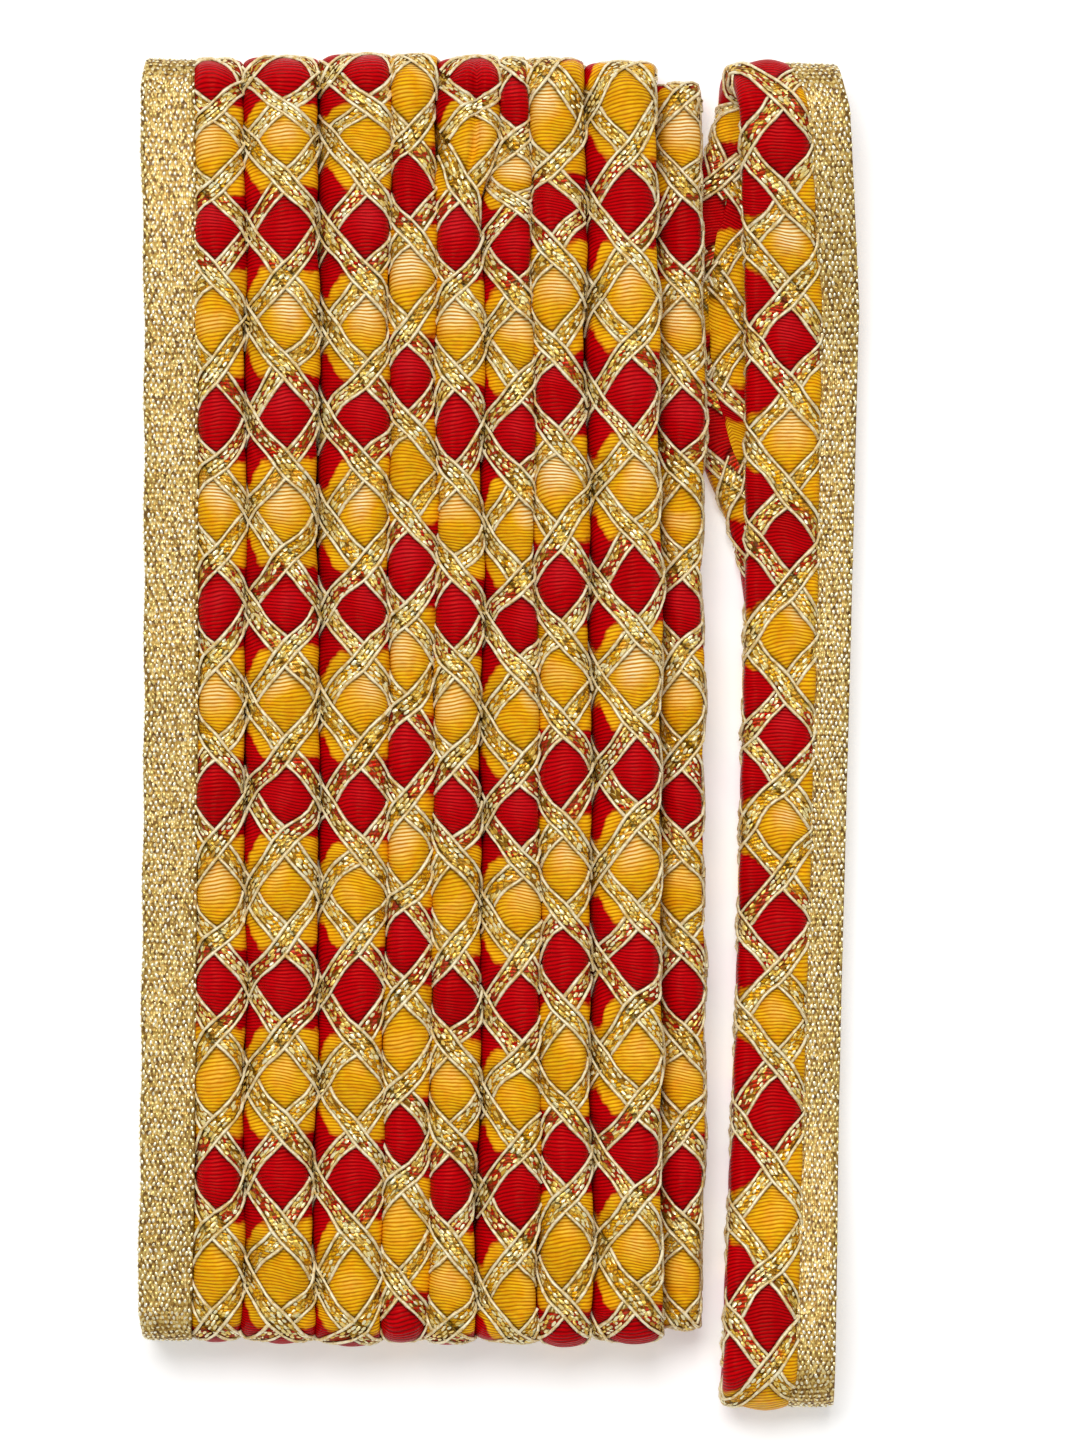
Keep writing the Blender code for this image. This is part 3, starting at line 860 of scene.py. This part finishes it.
def band_shift(slant, offset):
    """How far across the trim and along it, in cells, a line lies that is beside a band's middle."""
    return -slant * CELL_LENGTH / BAND_SLANT * offset, CELL_WIDTH / BAND_SLANT * offset / CELL_LENGTH


def to_crossing(across):
    """The distance across the trim to the nearest crossing; there are two in a cell's width."""
    return abs((across / CELL_WIDTH + 0.25) % 0.5 - 0.25) * CELL_WIDTH


def is_over(across, slant, tosses):
    """Whether a band is the upper one at the crossing nearest to each point. A row of the table of
    tosses is a band that rises to the right, and a column is one of its crossings."""
    crossing = np.round(across / CELL_WIDTH * 2).astype(int)
    rising = np.arange(len(across))[:, None] - crossing * (slant < 0)
    falling_over = tosses[rising % len(tosses), crossing + tosses.shape[1] // 2]
    return falling_over == (slant < 0)


def crossing_lift(across, slant, tosses):
    """At a crossing the upper band rises by a bell curve, and the lower one dives under it."""
    near = to_crossing(across)
    return np.where(is_over(across, slant, tosses), CROSSING_LIFT * np.exp(-((near / LIFT_REACH) ** 2)),
                    -CROSSING_DIP * (near < HIDDEN_HALF))


# %% [markdown]
# A cord needs points where it bends, so they crowd at the crossings. On the real trim the bands narrow a
# little between two crossings, where the swelling cloth pushes their edges together.

# %% Edge cords of the bands
CORD_PLACES = (-2.2, -1.15, -0.7, 0.7, 1.15, 2.2, 3.275)  # of a cord's points, from a crossing
CORD_MARGIN = 0.3
CORD_RAISED = 0.6  # of its radius, above the cloth


def cord_places(low, high):
    """Distances across the trim at which a cord has points: closer together at its crossings."""
    crossings = np.arange(math.floor(low / CELL_WIDTH * 2) - 1, math.ceil(high / CELL_WIDTH * 2) + 2)
    places = (crossings[:, None] * CELL_WIDTH / 2 + np.array(CORD_PLACES)[None]).ravel()
    inside = places[(places > low + CORD_MARGIN) & (places < high - CORD_MARGIN)]
    return np.concatenate([[low], np.sort(inside), [high]])


def band_cords(surface, starts, low, high, tosses):
    """Both edge cords of all bands: lines by samples, as points with normals."""
    found = []
    across = cord_places(low, high)[None] + np.zeros((len(starts), 1))
    nip = 1 - BAND_NIP * np.sin(2 * math.pi * across / CELL_WIDTH) ** 2
    for slant in (1, -1):
        lift = CORD_RADIUS * CORD_RAISED + crossing_lift(across, slant, tosses)
        cell = starts[:, None] + 0.5 + slant * across / CELL_WIDTH
        for edge in (-BAND_HALF, BAND_HALF):
            aside, ahead = band_shift(slant, edge * nip)
            found.append(surface(across + aside, cell + ahead, lift))
    return (np.concatenate([f[k] for f in found]) for k in (0, 1))


# %% [markdown]
# The bright stitches lie in three rows between the cords. Some stretches of a band are nearly bare, and
# at a crossing the lower band has none, since the upper one hides them.

# %% Stitches of the bands
STITCH_ROWS = (-0.68, 0.0, 0.68)
STITCH_PITCH, STITCH_LIFT = 1.15, 0.05
STITCH_SIZES = ((0.85, 1.30), (0.40, 0.60), (0.12, 0.22))  # least and most length, width and height
ASIDE_SPREAD, ALONG_SPREAD, TURN_SPREAD, TILT_SPREAD = 0.05, 0.07, 0.11, 0.22
BARE_UP_TO = {1: (0.05, 0.80), -1: (0.0, 0.65)}
BARE_OVER, BARE_UNDER = 0.12, 1.0  # at a crossing, for the upper band and the lower
STRETCHES = 12  # half cells of a band, each with its own bareness
AIM = 0.3  # a stitch points at a place so far on


def band_stitches(surface, starts, low, high, tosses):
    """Stitches between the cords: three staggered rows, each stitch a little off its place, with the
    direction of its band taken from a second point a short way on."""
    found = []
    count = int((high - low) * BAND_SLANT / CELL_WIDTH / STITCH_PITCH)
    step = (high - low) / count
    bareness = {slant: rng.uniform(*BARE_UP_TO[slant], (len(starts), STRETCHES)) for slant in (1, -1)}
    for slant, (row, offset) in ((s, r) for s in (1, -1) for r in enumerate(STITCH_ROWS)):
        aside, ahead = band_shift(slant, offset)
        across = low + (np.arange(count)[None] + 0.5 * (row % 2) + 0.25) * step
        across = across + rng.normal(0, ALONG_SPREAD, (len(starts), count))
        beside = across + aside + rng.normal(0, ASIDE_SPREAD, across.shape)
        cell = starts[:, None] + 0.5 + slant * across / CELL_WIDTH + ahead
        lift = STITCH_LIFT + np.maximum(crossing_lift(across, slant, tosses), 0)
        turned = rng.normal(0, TURN_SPREAD, across.shape)
        stretch = np.floor((across - low) / CELL_WIDTH * 2).astype(int) % STRETCHES
        bare = np.take_along_axis(bareness[slant], stretch, 1)
        bare_there = np.where(is_over(across, slant, tosses), BARE_OVER, BARE_UNDER)
        bare = np.where(to_crossing(across) < HIDDEN_HALF, bare_there, bare)
        kept = rng.random(across.shape) > bare
        here, normal = surface(beside, cell, lift)
        there, _ = surface(beside + AIM, cell + slant * AIM / CELL_WIDTH + turned * AIM / CELL_LENGTH,
                           lift)
        found.append((here[kept], there[kept] - here[kept], normal[kept]))
    centres, along, normals = (np.concatenate(parts) for parts in zip(*found))
    return centres, along, tilted(normals, TILT_SPREAD)


def dress_with_net(name, surface, starts, low, high, node_name):
    """The cords and the stitches of one piece of trim, as two meshes."""
    tosses = rng.random((len(starts), CROSSINGS)) < 0.5
    points, normals = band_cords(surface, starts, low, high, tosses)
    rings, faces = tube(points, normals, CORD_RADIUS)
    edges = make_piece(f"{name}_net_edges", rings, faces, GILT)
    centres, along, normals = band_stitches(surface, starts, low, high, tosses)
    points = grains(centres, along, normals, *drawn(len(centres), *STITCH_SIZES))
    stitches = grain_piece(f"{name}_net_stitches", points, rng.beta(1.6, 0.8, len(centres)), STRIP)
    for piece in (edges, stitches):
        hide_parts(node_name)
    return len(edges.data.polygons) + len(stitches.data.polygons)


# %% [markdown]
# The net reaches a little past the arcs of each turn into the creases, so that no end of a cord shows.

# %% Net of the turns
NET_PAST, NET_PAST_LOW = 0.9, 3.4  # past the arcs; the two turns at the right show more of their side
net_faces = 0
for turn in TURNS:
    line = turn["line"]
    *_, lowest, highest = rolls(turn, line["y"])
    starts = np.floor(line["cell"][0]) + np.arange(TURN_CELLS, dtype=float)
    low = float(lowest.mean()) + LEFT_SKIRT - NET_PAST
    high = float(highest.mean()) - SKIRTS[turn["index"]]
    high += NET_PAST if turn["index"] < len(TURNS) - 2 else NET_PAST_LOW
    net_faces += dress_with_net(f"turn_{turn['index'] + 1}",
                                lambda a, c, lift, t=turn: turn_surface(t, a, c, lift),
                                starts, low, high, "wound_trim")
print("Faces in the net of the turns:", net_faces)

# %% [markdown]
# ## The woven gold tape
#
# The tape is flat lamé: metal strip woven over a brown-gold ground in short upright floats, each row
# shifted by half a float. The ground is a thin closed band, and the floats are small domes on it, so they
# catch the light one by one as the real ones do.

# %% Ground of the tape
FLOAT_ACROSS, FLOAT_ALONG = 0.80, 0.90


def tape_ground():
    """The ground weave of the tape, seen between the floats: crossed brown-gold threads."""
    material, tree = new_material("tape_ground_weave")
    weave = node(tree, "UVMap", uv_map="weave")
    scaled = node(tree, "VectorMath", weave, (2.0 / FLOAT_ACROSS, 1.3 / FLOAT_ALONG, 1.0),
                  operation="MULTIPLY")
    threads = node(tree, "TexVoronoi", scaled, Scale=1.0, Randomness=0.7)
    own = node(tree, "SeparateXYZ", threads.outputs["Color"])
    along = node(tree, "SeparateXYZ", weave).outputs[1]
    turned = node(tree, "Math", along, 2 * math.pi / FLOAT_ALONG, operation="MULTIPLY")
    row = node(tree, "Math", turned, operation="COSINE")
    lit = node(tree, "Math", row, -0.12, own, operation="MULTIPLY_ADD")
    ramp = node(tree, "ValToRGB", lit)
    fill_ramp(ramp, "#64420F", (0.32, "#966E26"), (0.72, "#C49E48"), last="#EACE86")
    bump = node(tree, "Bump", Strength=0.6, Distance=0.0002, Height=threads)
    shade(tree, Base_Color=ramp, Normal=bump, Metallic=0.4, Roughness=0.42)
    return material


GROUND = tape_ground()
print("Floats lie", FLOAT_ACROSS, "by", FLOAT_ALONG, "mm apart")

# %% [markdown]
# A tape is wound round the same loop as its turn, but a little below it. One function places a point of
# it, so that the ground, the floats and the edge follow the same ripples.

# %% The surface of a tape
TAPE_THICKNESS = 0.8
TAPE_EDGES = ((-98.0, -57.8, -49.2), (-75.0, -57.3, -48.6), (0.0, -56.6, -48.0), (70.0, -56.6, -48.0),
              (107.0, -57.5, -48.7))
TAPE_RIPPLES = ((0.10, 5.3, 3), (0.07, 2.9, -4))
FOLD_DRAWN, FOLD_RAISED = 0.9, 2.0  # at a fold: the outer edge to the right, and the whole tape outward
EDGE_CURL, EDGE_CURL_SHARE = 0.4, 0.18


def curl(beyond, width):
    """A parabola that grows from 0 to 1 over a width."""
    return np.maximum(beyond, 0) ** 2 / width**2


def tape_place(line, edges, depth, share, length, lift=0.0):
    """A point of a tape wound round a line: share runs from its left edge to its right, and the tape
    lies so deep below the line. Its outer edge curls down a little and its rows ripple slightly."""
    length = length % line["length"][-1]
    on = on_line(line, length)
    y, _, out_y, _ = on
    left, right = edges(y)
    x = left + share * (right - left) + FOLD_DRAWN * (1 - share) ** 6 * out_y**2
    ripple = waves(TAPE_RIPPLES, length, share) * (lift >= 0)
    height = lift - (depth - FOLD_RAISED * out_y**2) + ripple
    return place_and_normal(x, on, height - EDGE_CURL * curl(EDGE_CURL_SHARE - share, EDGE_CURL_SHARE))


def tape_edges_at(y):
    """The tape's left and right edges, read from a short table."""
    at, left, right = (np.array(c) for c in zip(*TAPE_EDGES))
    return np.interp(y, at, left) + 0.12 * np.sin(y / 3.1), np.interp(y, at, right)


# %% [markdown]
# The tape's parts are the same at both tapes: a thin closed band, rows of floats on it, and the strip
# that turns round its outer edge.

# %% Bands, floats and selvedges
BAND_WIDTH = 9.0  # of a tape on its map
FLOAT_SIZES = ((0.66, 0.88), (0.40, 0.54), (0.16, 0.25))  # least and most length, width and height
EDGE_SIZES = ((0.72, 0.92), (0.55, 0.80), (0.15, 0.28))
FLOAT_START, FLOAT_STAGGER = 0.28, 0.45  # in columns
FLOAT_ASIDE, FLOAT_ALONG_SPREAD, FLOAT_TURN, FLOAT_TILT, EDGE_TILT = 0.09, 0.08, 0.012, 0.13, 0.12
ROW_WAVE, ROW_WAVE_REACH, ROW_WAVES = 0.22, 1.7, 31  # in rows, in columns, and how many in a turn
FLOAT_LIFT = 0.02


def closed_band(name, place, line, columns=9):
    """A thin band with its two faces and both edges: columns out along the top and back below."""
    rows = np.linspace(0, line["length"][-1], int(line["length"][-1]) + 1)
    share = np.linspace(0, 1, columns)
    top, _ = place(share[None], rows[:-1, None], 0.0)
    below, _ = place(share[None, ::-1], rows[:-1, None], -TAPE_THICKNESS)
    faces = grid_faces(len(rows) - 1, 2 * columns, closed=True, wrapped=True)
    width = np.concatenate([BAND_WIDTH * share, BAND_WIDTH * (1 + share) + TAPE_THICKNESS,
                            [2 * (BAND_WIDTH + TAPE_THICKNESS)]])
    weave = np.stack(np.broadcast_arrays(width[None], rows[:, None]), -1)
    maps = (("weave", weave, grid_faces(len(rows), 2 * columns + 1)),)
    return make_piece(name, np.concatenate([top, below], 1), faces, GROUND, maps)


def tape_floats(name, place, total, width):
    """The floats of a tape: staggered rows of domes, a little uneven in size, place and angle."""
    rows = int(total / FLOAT_ALONG) // 2 * 2
    columns = int(width / FLOAT_ACROSS)
    j, i = np.meshgrid(np.arange(rows), np.arange(columns), indexing="ij")
    share = i + FLOAT_START + FLOAT_STAGGER * (j % 2) + rng.normal(0, FLOAT_ASIDE, j.shape)
    share = share / columns
    wave = ROW_WAVE * np.sin(i / ROW_WAVE_REACH + 2 * math.pi * j * ROW_WAVES / rows)
    length = (j + wave + rng.normal(0, FLOAT_ALONG_SPREAD, j.shape)) * total / rows
    here, normal = place(share, length, FLOAT_LIFT)
    there, _ = place(share + rng.normal(0, FLOAT_TURN, j.shape), length + AIM, FLOAT_LIFT)
    normal = tilted(normal.reshape(-1, 3), FLOAT_TILT)
    points = grains(here.reshape(-1, 3), (there - here).reshape(-1, 3), normal,
                    *drawn(j.size, *FLOAT_SIZES))
    return grain_piece(name, points, rng.beta(2.6, 1.0, j.size), LAME)


def tape_selvedge(place, total):
    """The turns of strip along the outer edge of a tape, one a row, facing left."""
    rows = int(total / FLOAT_ALONG)
    length = (np.arange(rows) + rng.normal(0, FLOAT_ALONG_SPREAD, rows)) * total / rows
    here, there = (place(np.zeros(rows), at, -TAPE_THICKNESS / 2)[0] for at in (length, length + AIM))
    normal = tilted(np.tile((-1.0, 0.0, 0.0), (rows, 1)), EDGE_TILT)
    return grains(here, there - here, normal, *drawn(rows, *EDGE_SIZES))


# %% [markdown]
# Each turn of the bundle brings its own tape to the left edge, one below the other. Only the top one shows
# its face, so only that one has floats, and the others have their edges.

# %% The stack of tapes
STACK_DEPTHS = (1.9, 3.05, 4.2, 5.35, 6.5, 7.65, 8.8, 9.95)
STACK_LINE = turn_line({**TURNS[0], "low": 0.0}, UNDERSIDE)
selvedges = []
for k, depth in enumerate(STACK_DEPTHS):
    inward = 0.0 if k == 0 else 0.25 + 0.35 * math.sin(2.3 * k) ** 2

    def place(share, length, lift, depth=depth, inward=inward):
        return tape_place(STACK_LINE, lambda y: (tape_edges_at(y)[0] + inward, tape_edges_at(y)[1]),
                          depth, share, length, lift)

    selvedges.append(tape_selvedge(place, STACK_LINE["length"][-1]))
    band = closed_band(f"tape_{k + 1}", place, STACK_LINE)
    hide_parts("outer_tape" if k == 0 else "wound_trim")
    if k == 0:
        floats = tape_floats("tape_1_floats", place, STACK_LINE["length"][-1], 8.4)
        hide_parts("outer_tape")
points = np.concatenate(selvedges)
edging = grain_piece("tape_selvedges", points, rng.beta(2.2, 1.3, len(points) // GRAIN_POINTS), LAME)
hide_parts("wound_trim")
print("Triangles in the floats:", len(floats.data.polygons), "and edges:", len(edging.data.polygons))

# %% [markdown]
# ## The loose last turn
#
# The last turn isn't tucked in. Its front lies to the right of the bundle, rounds over at both ends, and
# its back swings left under the layer below. Its piping is a full stadium in section, flat above and
# below with round sides, and its tape leaves the seam at the right.

# %% The line of the loose turn
END_HEAD, END_FOOT, END_RED = 107.4, -108.9, -0.8
END_FOLD_HEIGHT, END_MIDDLE_HEIGHT, END_RISE_LENGTH = 15.6, 9.4, 42.0
END_BOW, END_BOW_LENGTH = 12.0, 88.0
END_PITCHES = (15.87, 15.1, 16.6)  # above the crimson diamond at END_RED, below it, near the foot
END_FOOT_FROM = -54.0
END_CELLS = 28
END_POINTS, END_ARC_POINTS = 300, 30


def end_line():
    """The loose turn's loop, with how far it swings left at each point."""
    radius, quarter = END_FOLD_HEIGHT / 2, math.pi / 2
    y = np.linspace(END_FOOT + radius, END_HEAD - radius, END_POINTS)
    to_end = np.minimum(END_HEAD - y, y - END_FOOT) - radius
    rise = (END_FOLD_HEIGHT - END_MIDDLE_HEIGHT) * (1 - smooth(to_end / END_RISE_LENGTH))
    front = np.stack([y, END_MIDDLE_HEIGHT + rise], 1)
    over = arc((END_HEAD - radius, radius), radius, quarter, -quarter, END_ARC_POINTS)
    back = np.stack([y[::-1], np.zeros_like(y)], 1)
    under = arc((END_FOOT + radius, radius), radius, -quarter, -3 * quarter, END_ARC_POINTS)[:-1]
    points = np.vstack([front, over, back[1:], under])
    is_back = np.zeros(len(points), bool)
    start = len(front) + len(over)
    is_back[start:start + len(back) - 1] = True
    pitch = np.select([points[:, 0] > END_RED, points[:, 0] > END_FOOT_FROM], END_PITCHES[:2],
                      END_PITCHES[2])
    line = line_facts(points, is_back, END_RED, pitch, END_CELLS)
    swing = np.zeros(len(points))
    share = np.clip((END_HEAD - back[1:, 0]) / END_BOW_LENGTH, 0, 1)
    swung = END_BOW * np.where(share < 0.5, np.sin(math.pi * share), smooth(2 - 2 * share))
    swing[start:start + len(swung)] = swung
    swing[len(front):start] = swung[0] * np.linspace(0, 1, len(over))
    line["swing"] = np.append(swing, swing[0])
    return line


END_LINE = end_line()
print("The loose turn is", round(END_LINE["length"][-1]), "mm of trim")

# %% [markdown]
# Its piping isn't pressed by neighbours, so it keeps its full round sides, and it thins a little where it
# folds over.

# %% The surface of the loose piping
END_EDGES = ((-108.0, 36.2, 47.9, 54.2), (-45.0, 38.7, 49.8, 55.5), (20.0, 40.1, 51.6, 57.2),
             (68.0, 40.1, 52.3, 58.4), (107.0, 38.8, 49.4, 56.3))
END_THICKNESS = 4.4
END_ASIDE = 1.1  # the net's axis lies so far right of the piping's middle
END_SWELL, LEAST_SWELL = 0.85, 0.15  # shares of the turns' swell, on top and underneath
END_FLATNESS = 0.5


def end_edges_at(y):
    """The piping's left edge, its seam and the tape's right edge, read from a short table."""
    at, *edges = (np.array(c) for c in zip(*END_EDGES))
    return [np.interp(y, at, edge) for edge in edges]


def end_surface(across, cell, lift=0.0):
    """A point of the loose piping: distances across run round a stadium, straight over the top,
    round each side by an arc, and straight below."""
    line = END_LINE
    swell = PUFF * END_SWELL * pillow(across / CELL_WIDTH, cell)
    across, cell = uneven(len(TURNS), across, cell)
    cell = line["cell"][0] + (cell - line["cell"][0]) % END_CELLS
    length = np.interp(cell, line["cell"], line["length"])
    on = on_line(line, length)
    left, seam, _ = end_edges_at(on[0])
    radius = END_THICKNESS / 2
    run = (seam - left) / 2 - radius
    round_it = across + END_ASIDE
    side = np.sign(round_it)
    beyond = np.maximum(abs(round_it) - run, 0)
    angle = np.minimum(beyond / radius, math.pi)
    rest = np.maximum(beyond - radius * math.pi, 0)
    raised = lift + swell * np.maximum(np.cos(angle), LEAST_SWELL)
    x = (left + seam) / 2 - np.interp(length, line["length"], line["swing"]) + side * (
        np.minimum(abs(round_it), run) + (radius + raised) * np.sin(angle) - rest)
    flat = END_FLATNESS * on[2] ** 2 * (angle < math.pi / 2)
    drop = radius * (1 - np.cos(angle)) * (1 - flat)
    return place_and_normal(x, on, raised * np.cos(angle) - drop, side * np.sin(angle), np.cos(angle))


# %% [markdown]
# The dye was tied before the net was sewn on, so its count of cells is its own. At the head fold of the
# loose turn two crimson diamonds follow each other.

# %% Cloth and net of the loose turn
TWICE_CRIMSON = 6  # the last crimson cell before the head fold
END_COLUMNS = 64
END_NET = (-15.3, 13.1)  # how far the net reaches round the piping
DYE_RISE = 0.32  # how far the colours move on, in cells, and back again in the cell that stands still


def loose_dye(cell):
    """The dye's cell number: it stands still for a cell at the head fold, and catches up round the
    back."""
    last = END_LINE["cell"][0] + END_CELLS
    still = TWICE_CRIMSON + DYE_RISE * np.sin(math.pi * (cell - TWICE_CRIMSON)) ** 2
    after = TWICE_CRIMSON + ((cell - TWICE_CRIMSON - 1) * (last - TWICE_CRIMSON)
                             / (last - TWICE_CRIMSON - 1))
    return np.where(cell < TWICE_CRIMSON, cell, np.where(cell < TWICE_CRIMSON + 1, still, after))


end_rows = rows_along(END_LINE)
left, seam, _ = end_edges_at(np.interp(end_rows, END_LINE["length"], END_LINE["y"]))
half_round = (seam - left) - END_THICKNESS + END_THICKNESS / 2 * math.pi
across = half_round[:, None] * np.linspace(-1, 1, END_COLUMNS + 1)[None] - END_ASIDE
end_cloth = cloth_piece("loose_turn_cloth", end_surface, END_LINE, end_rows, across, LOOSE_CLOTH, 7000,
                        dyed=loose_dye, wrapped=True)
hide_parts("end_turn_piping")
starts = np.floor(END_LINE["cell"][0]) + np.arange(END_CELLS, dtype=float)
end_faces = dress_with_net("loose_turn", end_surface, starts, *END_NET, "end_turn_piping")
print("Faces in the net of the loose turn:", end_faces)

# %% [markdown]
# Its tape lies flat beside the piping, its left edge sewn into the seam, and curls a little at the right.

# %% Tape of the loose turn
END_RIPPLES = ((0.09, 4.7, 3), (0.05, 2.1, -4))
SEAM_WIDTH = 1.3
END_TAPE_DEPTH, END_TAPE_RAISED = 0.36, 1.9  # a share of the piping's thickness; outward at a fold
END_CURL, END_CURL_SHARE = 0.2, 0.15


def end_tape_place(share, length, lift):
    """A point of the loose turn's tape, from a little inside the seam to its right edge."""
    length = length % END_LINE["length"][-1]
    on = on_line(END_LINE, length)
    _, seam, right = end_edges_at(on[0])
    swing = np.interp(length, END_LINE["length"], END_LINE["swing"])
    x = seam - SEAM_WIDTH - swing + share * (right - seam + SEAM_WIDTH)
    height = lift - END_THICKNESS * END_TAPE_DEPTH + END_TAPE_RAISED * on[2] ** 2
    height = height + waves(END_RIPPLES, length, share)
    return place_and_normal(x, on, height - END_CURL * curl(share - 1 + END_CURL_SHARE, END_CURL_SHARE))


end_tape = closed_band("loose_turn_tape", end_tape_place, END_LINE, columns=7)
end_floats = tape_floats("loose_turn_floats", end_tape_place, END_LINE["length"][-1], 7.3)
for piece in (end_tape, end_floats):
    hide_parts("end_turn_tape")
print("Triangles in its floats:", len(end_floats.data.polygons))

# %% [markdown]
# ## Floor
#
# The roll is seen from straight above on a white sheet of acrylic, which is lit faintly from below so
# that shadows on it stay pale.

# %% Floor
FLOOR_HALF, FLOOR_HEIGHT = 3.0, -0.0002  # in metres


def lit_acrylic():
    """Matte white acrylic sheet with a faint light of its own."""
    material, tree = new_material("matte_white_acrylic")
    noise = node(tree, "TexNoise", node(tree, "TexCoord").outputs["Object"], Scale=300.0, Detail=2.0)
    bump = node(tree, "Bump", Strength=0.03, Distance=0.0002, Height=noise)
    shade(tree, Base_Color=colour("#F7F7F7"), Normal=bump, Roughness=0.9,
          Emission_Color=colour("#FFFFFF"), Emission_Strength=0.29)
    return material


floor_mesh = bpy.data.meshes.new("floor")
corners = [(x * FLOOR_HALF, y * FLOOR_HALF, FLOOR_HEIGHT) for x, y in ((-1, -1), (1, -1), (1, 1), (-1, 1))]
floor_mesh.from_pydata(corners, [], [(0, 1, 2, 3)])
floor_mesh.materials.append(lit_acrylic())
floor = bpy.data.objects.new("floor", floor_mesh)
bpy.context.scene.collection.objects.link(floor)
floor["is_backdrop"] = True
print("Floor:", 2 * FLOOR_HALF, "m square")

# %% [markdown]
# ## Light
#
# A soft light high beyond the head folds gives real highlights on the upper side of each swelling, to
# which the satin's painted highlights add, and a pale surround fills the rest.

# %% Lights
window = bpy.data.lights.new("soft_window", "AREA")
window.shape = "RECTANGLE"
window.size, window.size_y, window.energy = 1.6, 1.3, 62.0  # metres and watts
light = bpy.data.objects.new("soft_window", window)
bpy.context.scene.collection.objects.link(light)
light.location = (-0.36, 1.2, 2.8)
light.rotation_mode = "QUATERNION"
light.rotation_quaternion = (-light.location).to_track_quat("-Z", "Y")

world = bpy.data.worlds.new("pale_room")
world.use_nodes = True
background = world.node_tree.nodes["Background"]
background.inputs["Color"].default_value = colour("#FFFFFF")
background.inputs["Strength"].default_value = 0.44
bpy.context.scene.world = world
bpy.context.scene.view_settings.view_transform = "Standard"
print("The light is", round(light.location.length, 2), "m away")

# %% [markdown]
# ## Camera
#
# The camera looks straight down from so high that the turns at the edges are hardly seen from the side.
# Its lens is worked out from the height that the picture takes in at the top of the bundle.

# %% Camera
CAMERA_HEIGHT = 1.2  # above the top of the bundle
SEEN_HEIGHT = 0.2317  # what the picture's long side takes in at the top of the bundle
SENSOR = 36.0
camera_data = bpy.data.cameras.new("camera")
camera_data.sensor_width = SENSOR
camera_data.lens = SENSOR * CAMERA_HEIGHT / SEEN_HEIGHT
camera = bpy.data.objects.new("camera", camera_data)
bpy.context.scene.collection.objects.link(camera)
camera.location = (0.0073, 0.0010, THICKNESS * MM + CAMERA_HEIGHT)
bpy.context.scene.camera = camera
print("Lens", round(camera_data.lens, 1), "mm")

# %% [markdown]
# ## Size
#
# The pieces that were added have to stay close to the solids that they dress, so both boxes are noted.

# %% Size and finish
low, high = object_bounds()
{"cad": [list(CAD_LOW), list(CAD_HIGH)], "visual": [list(low), list(high)]}
print("Visual box in mm:", [round(v / MM, 1) for v in (*low, *high)])
triangles = [sum(len(p.vertices) - 2 for p in o.data.polygons) for o in bpy.data.objects
             if o.type == "MESH" and o != floor and not o.name.startswith("cad")]
print("Triangles in all:", sum(triangles), "most in one piece:", max(triangles))
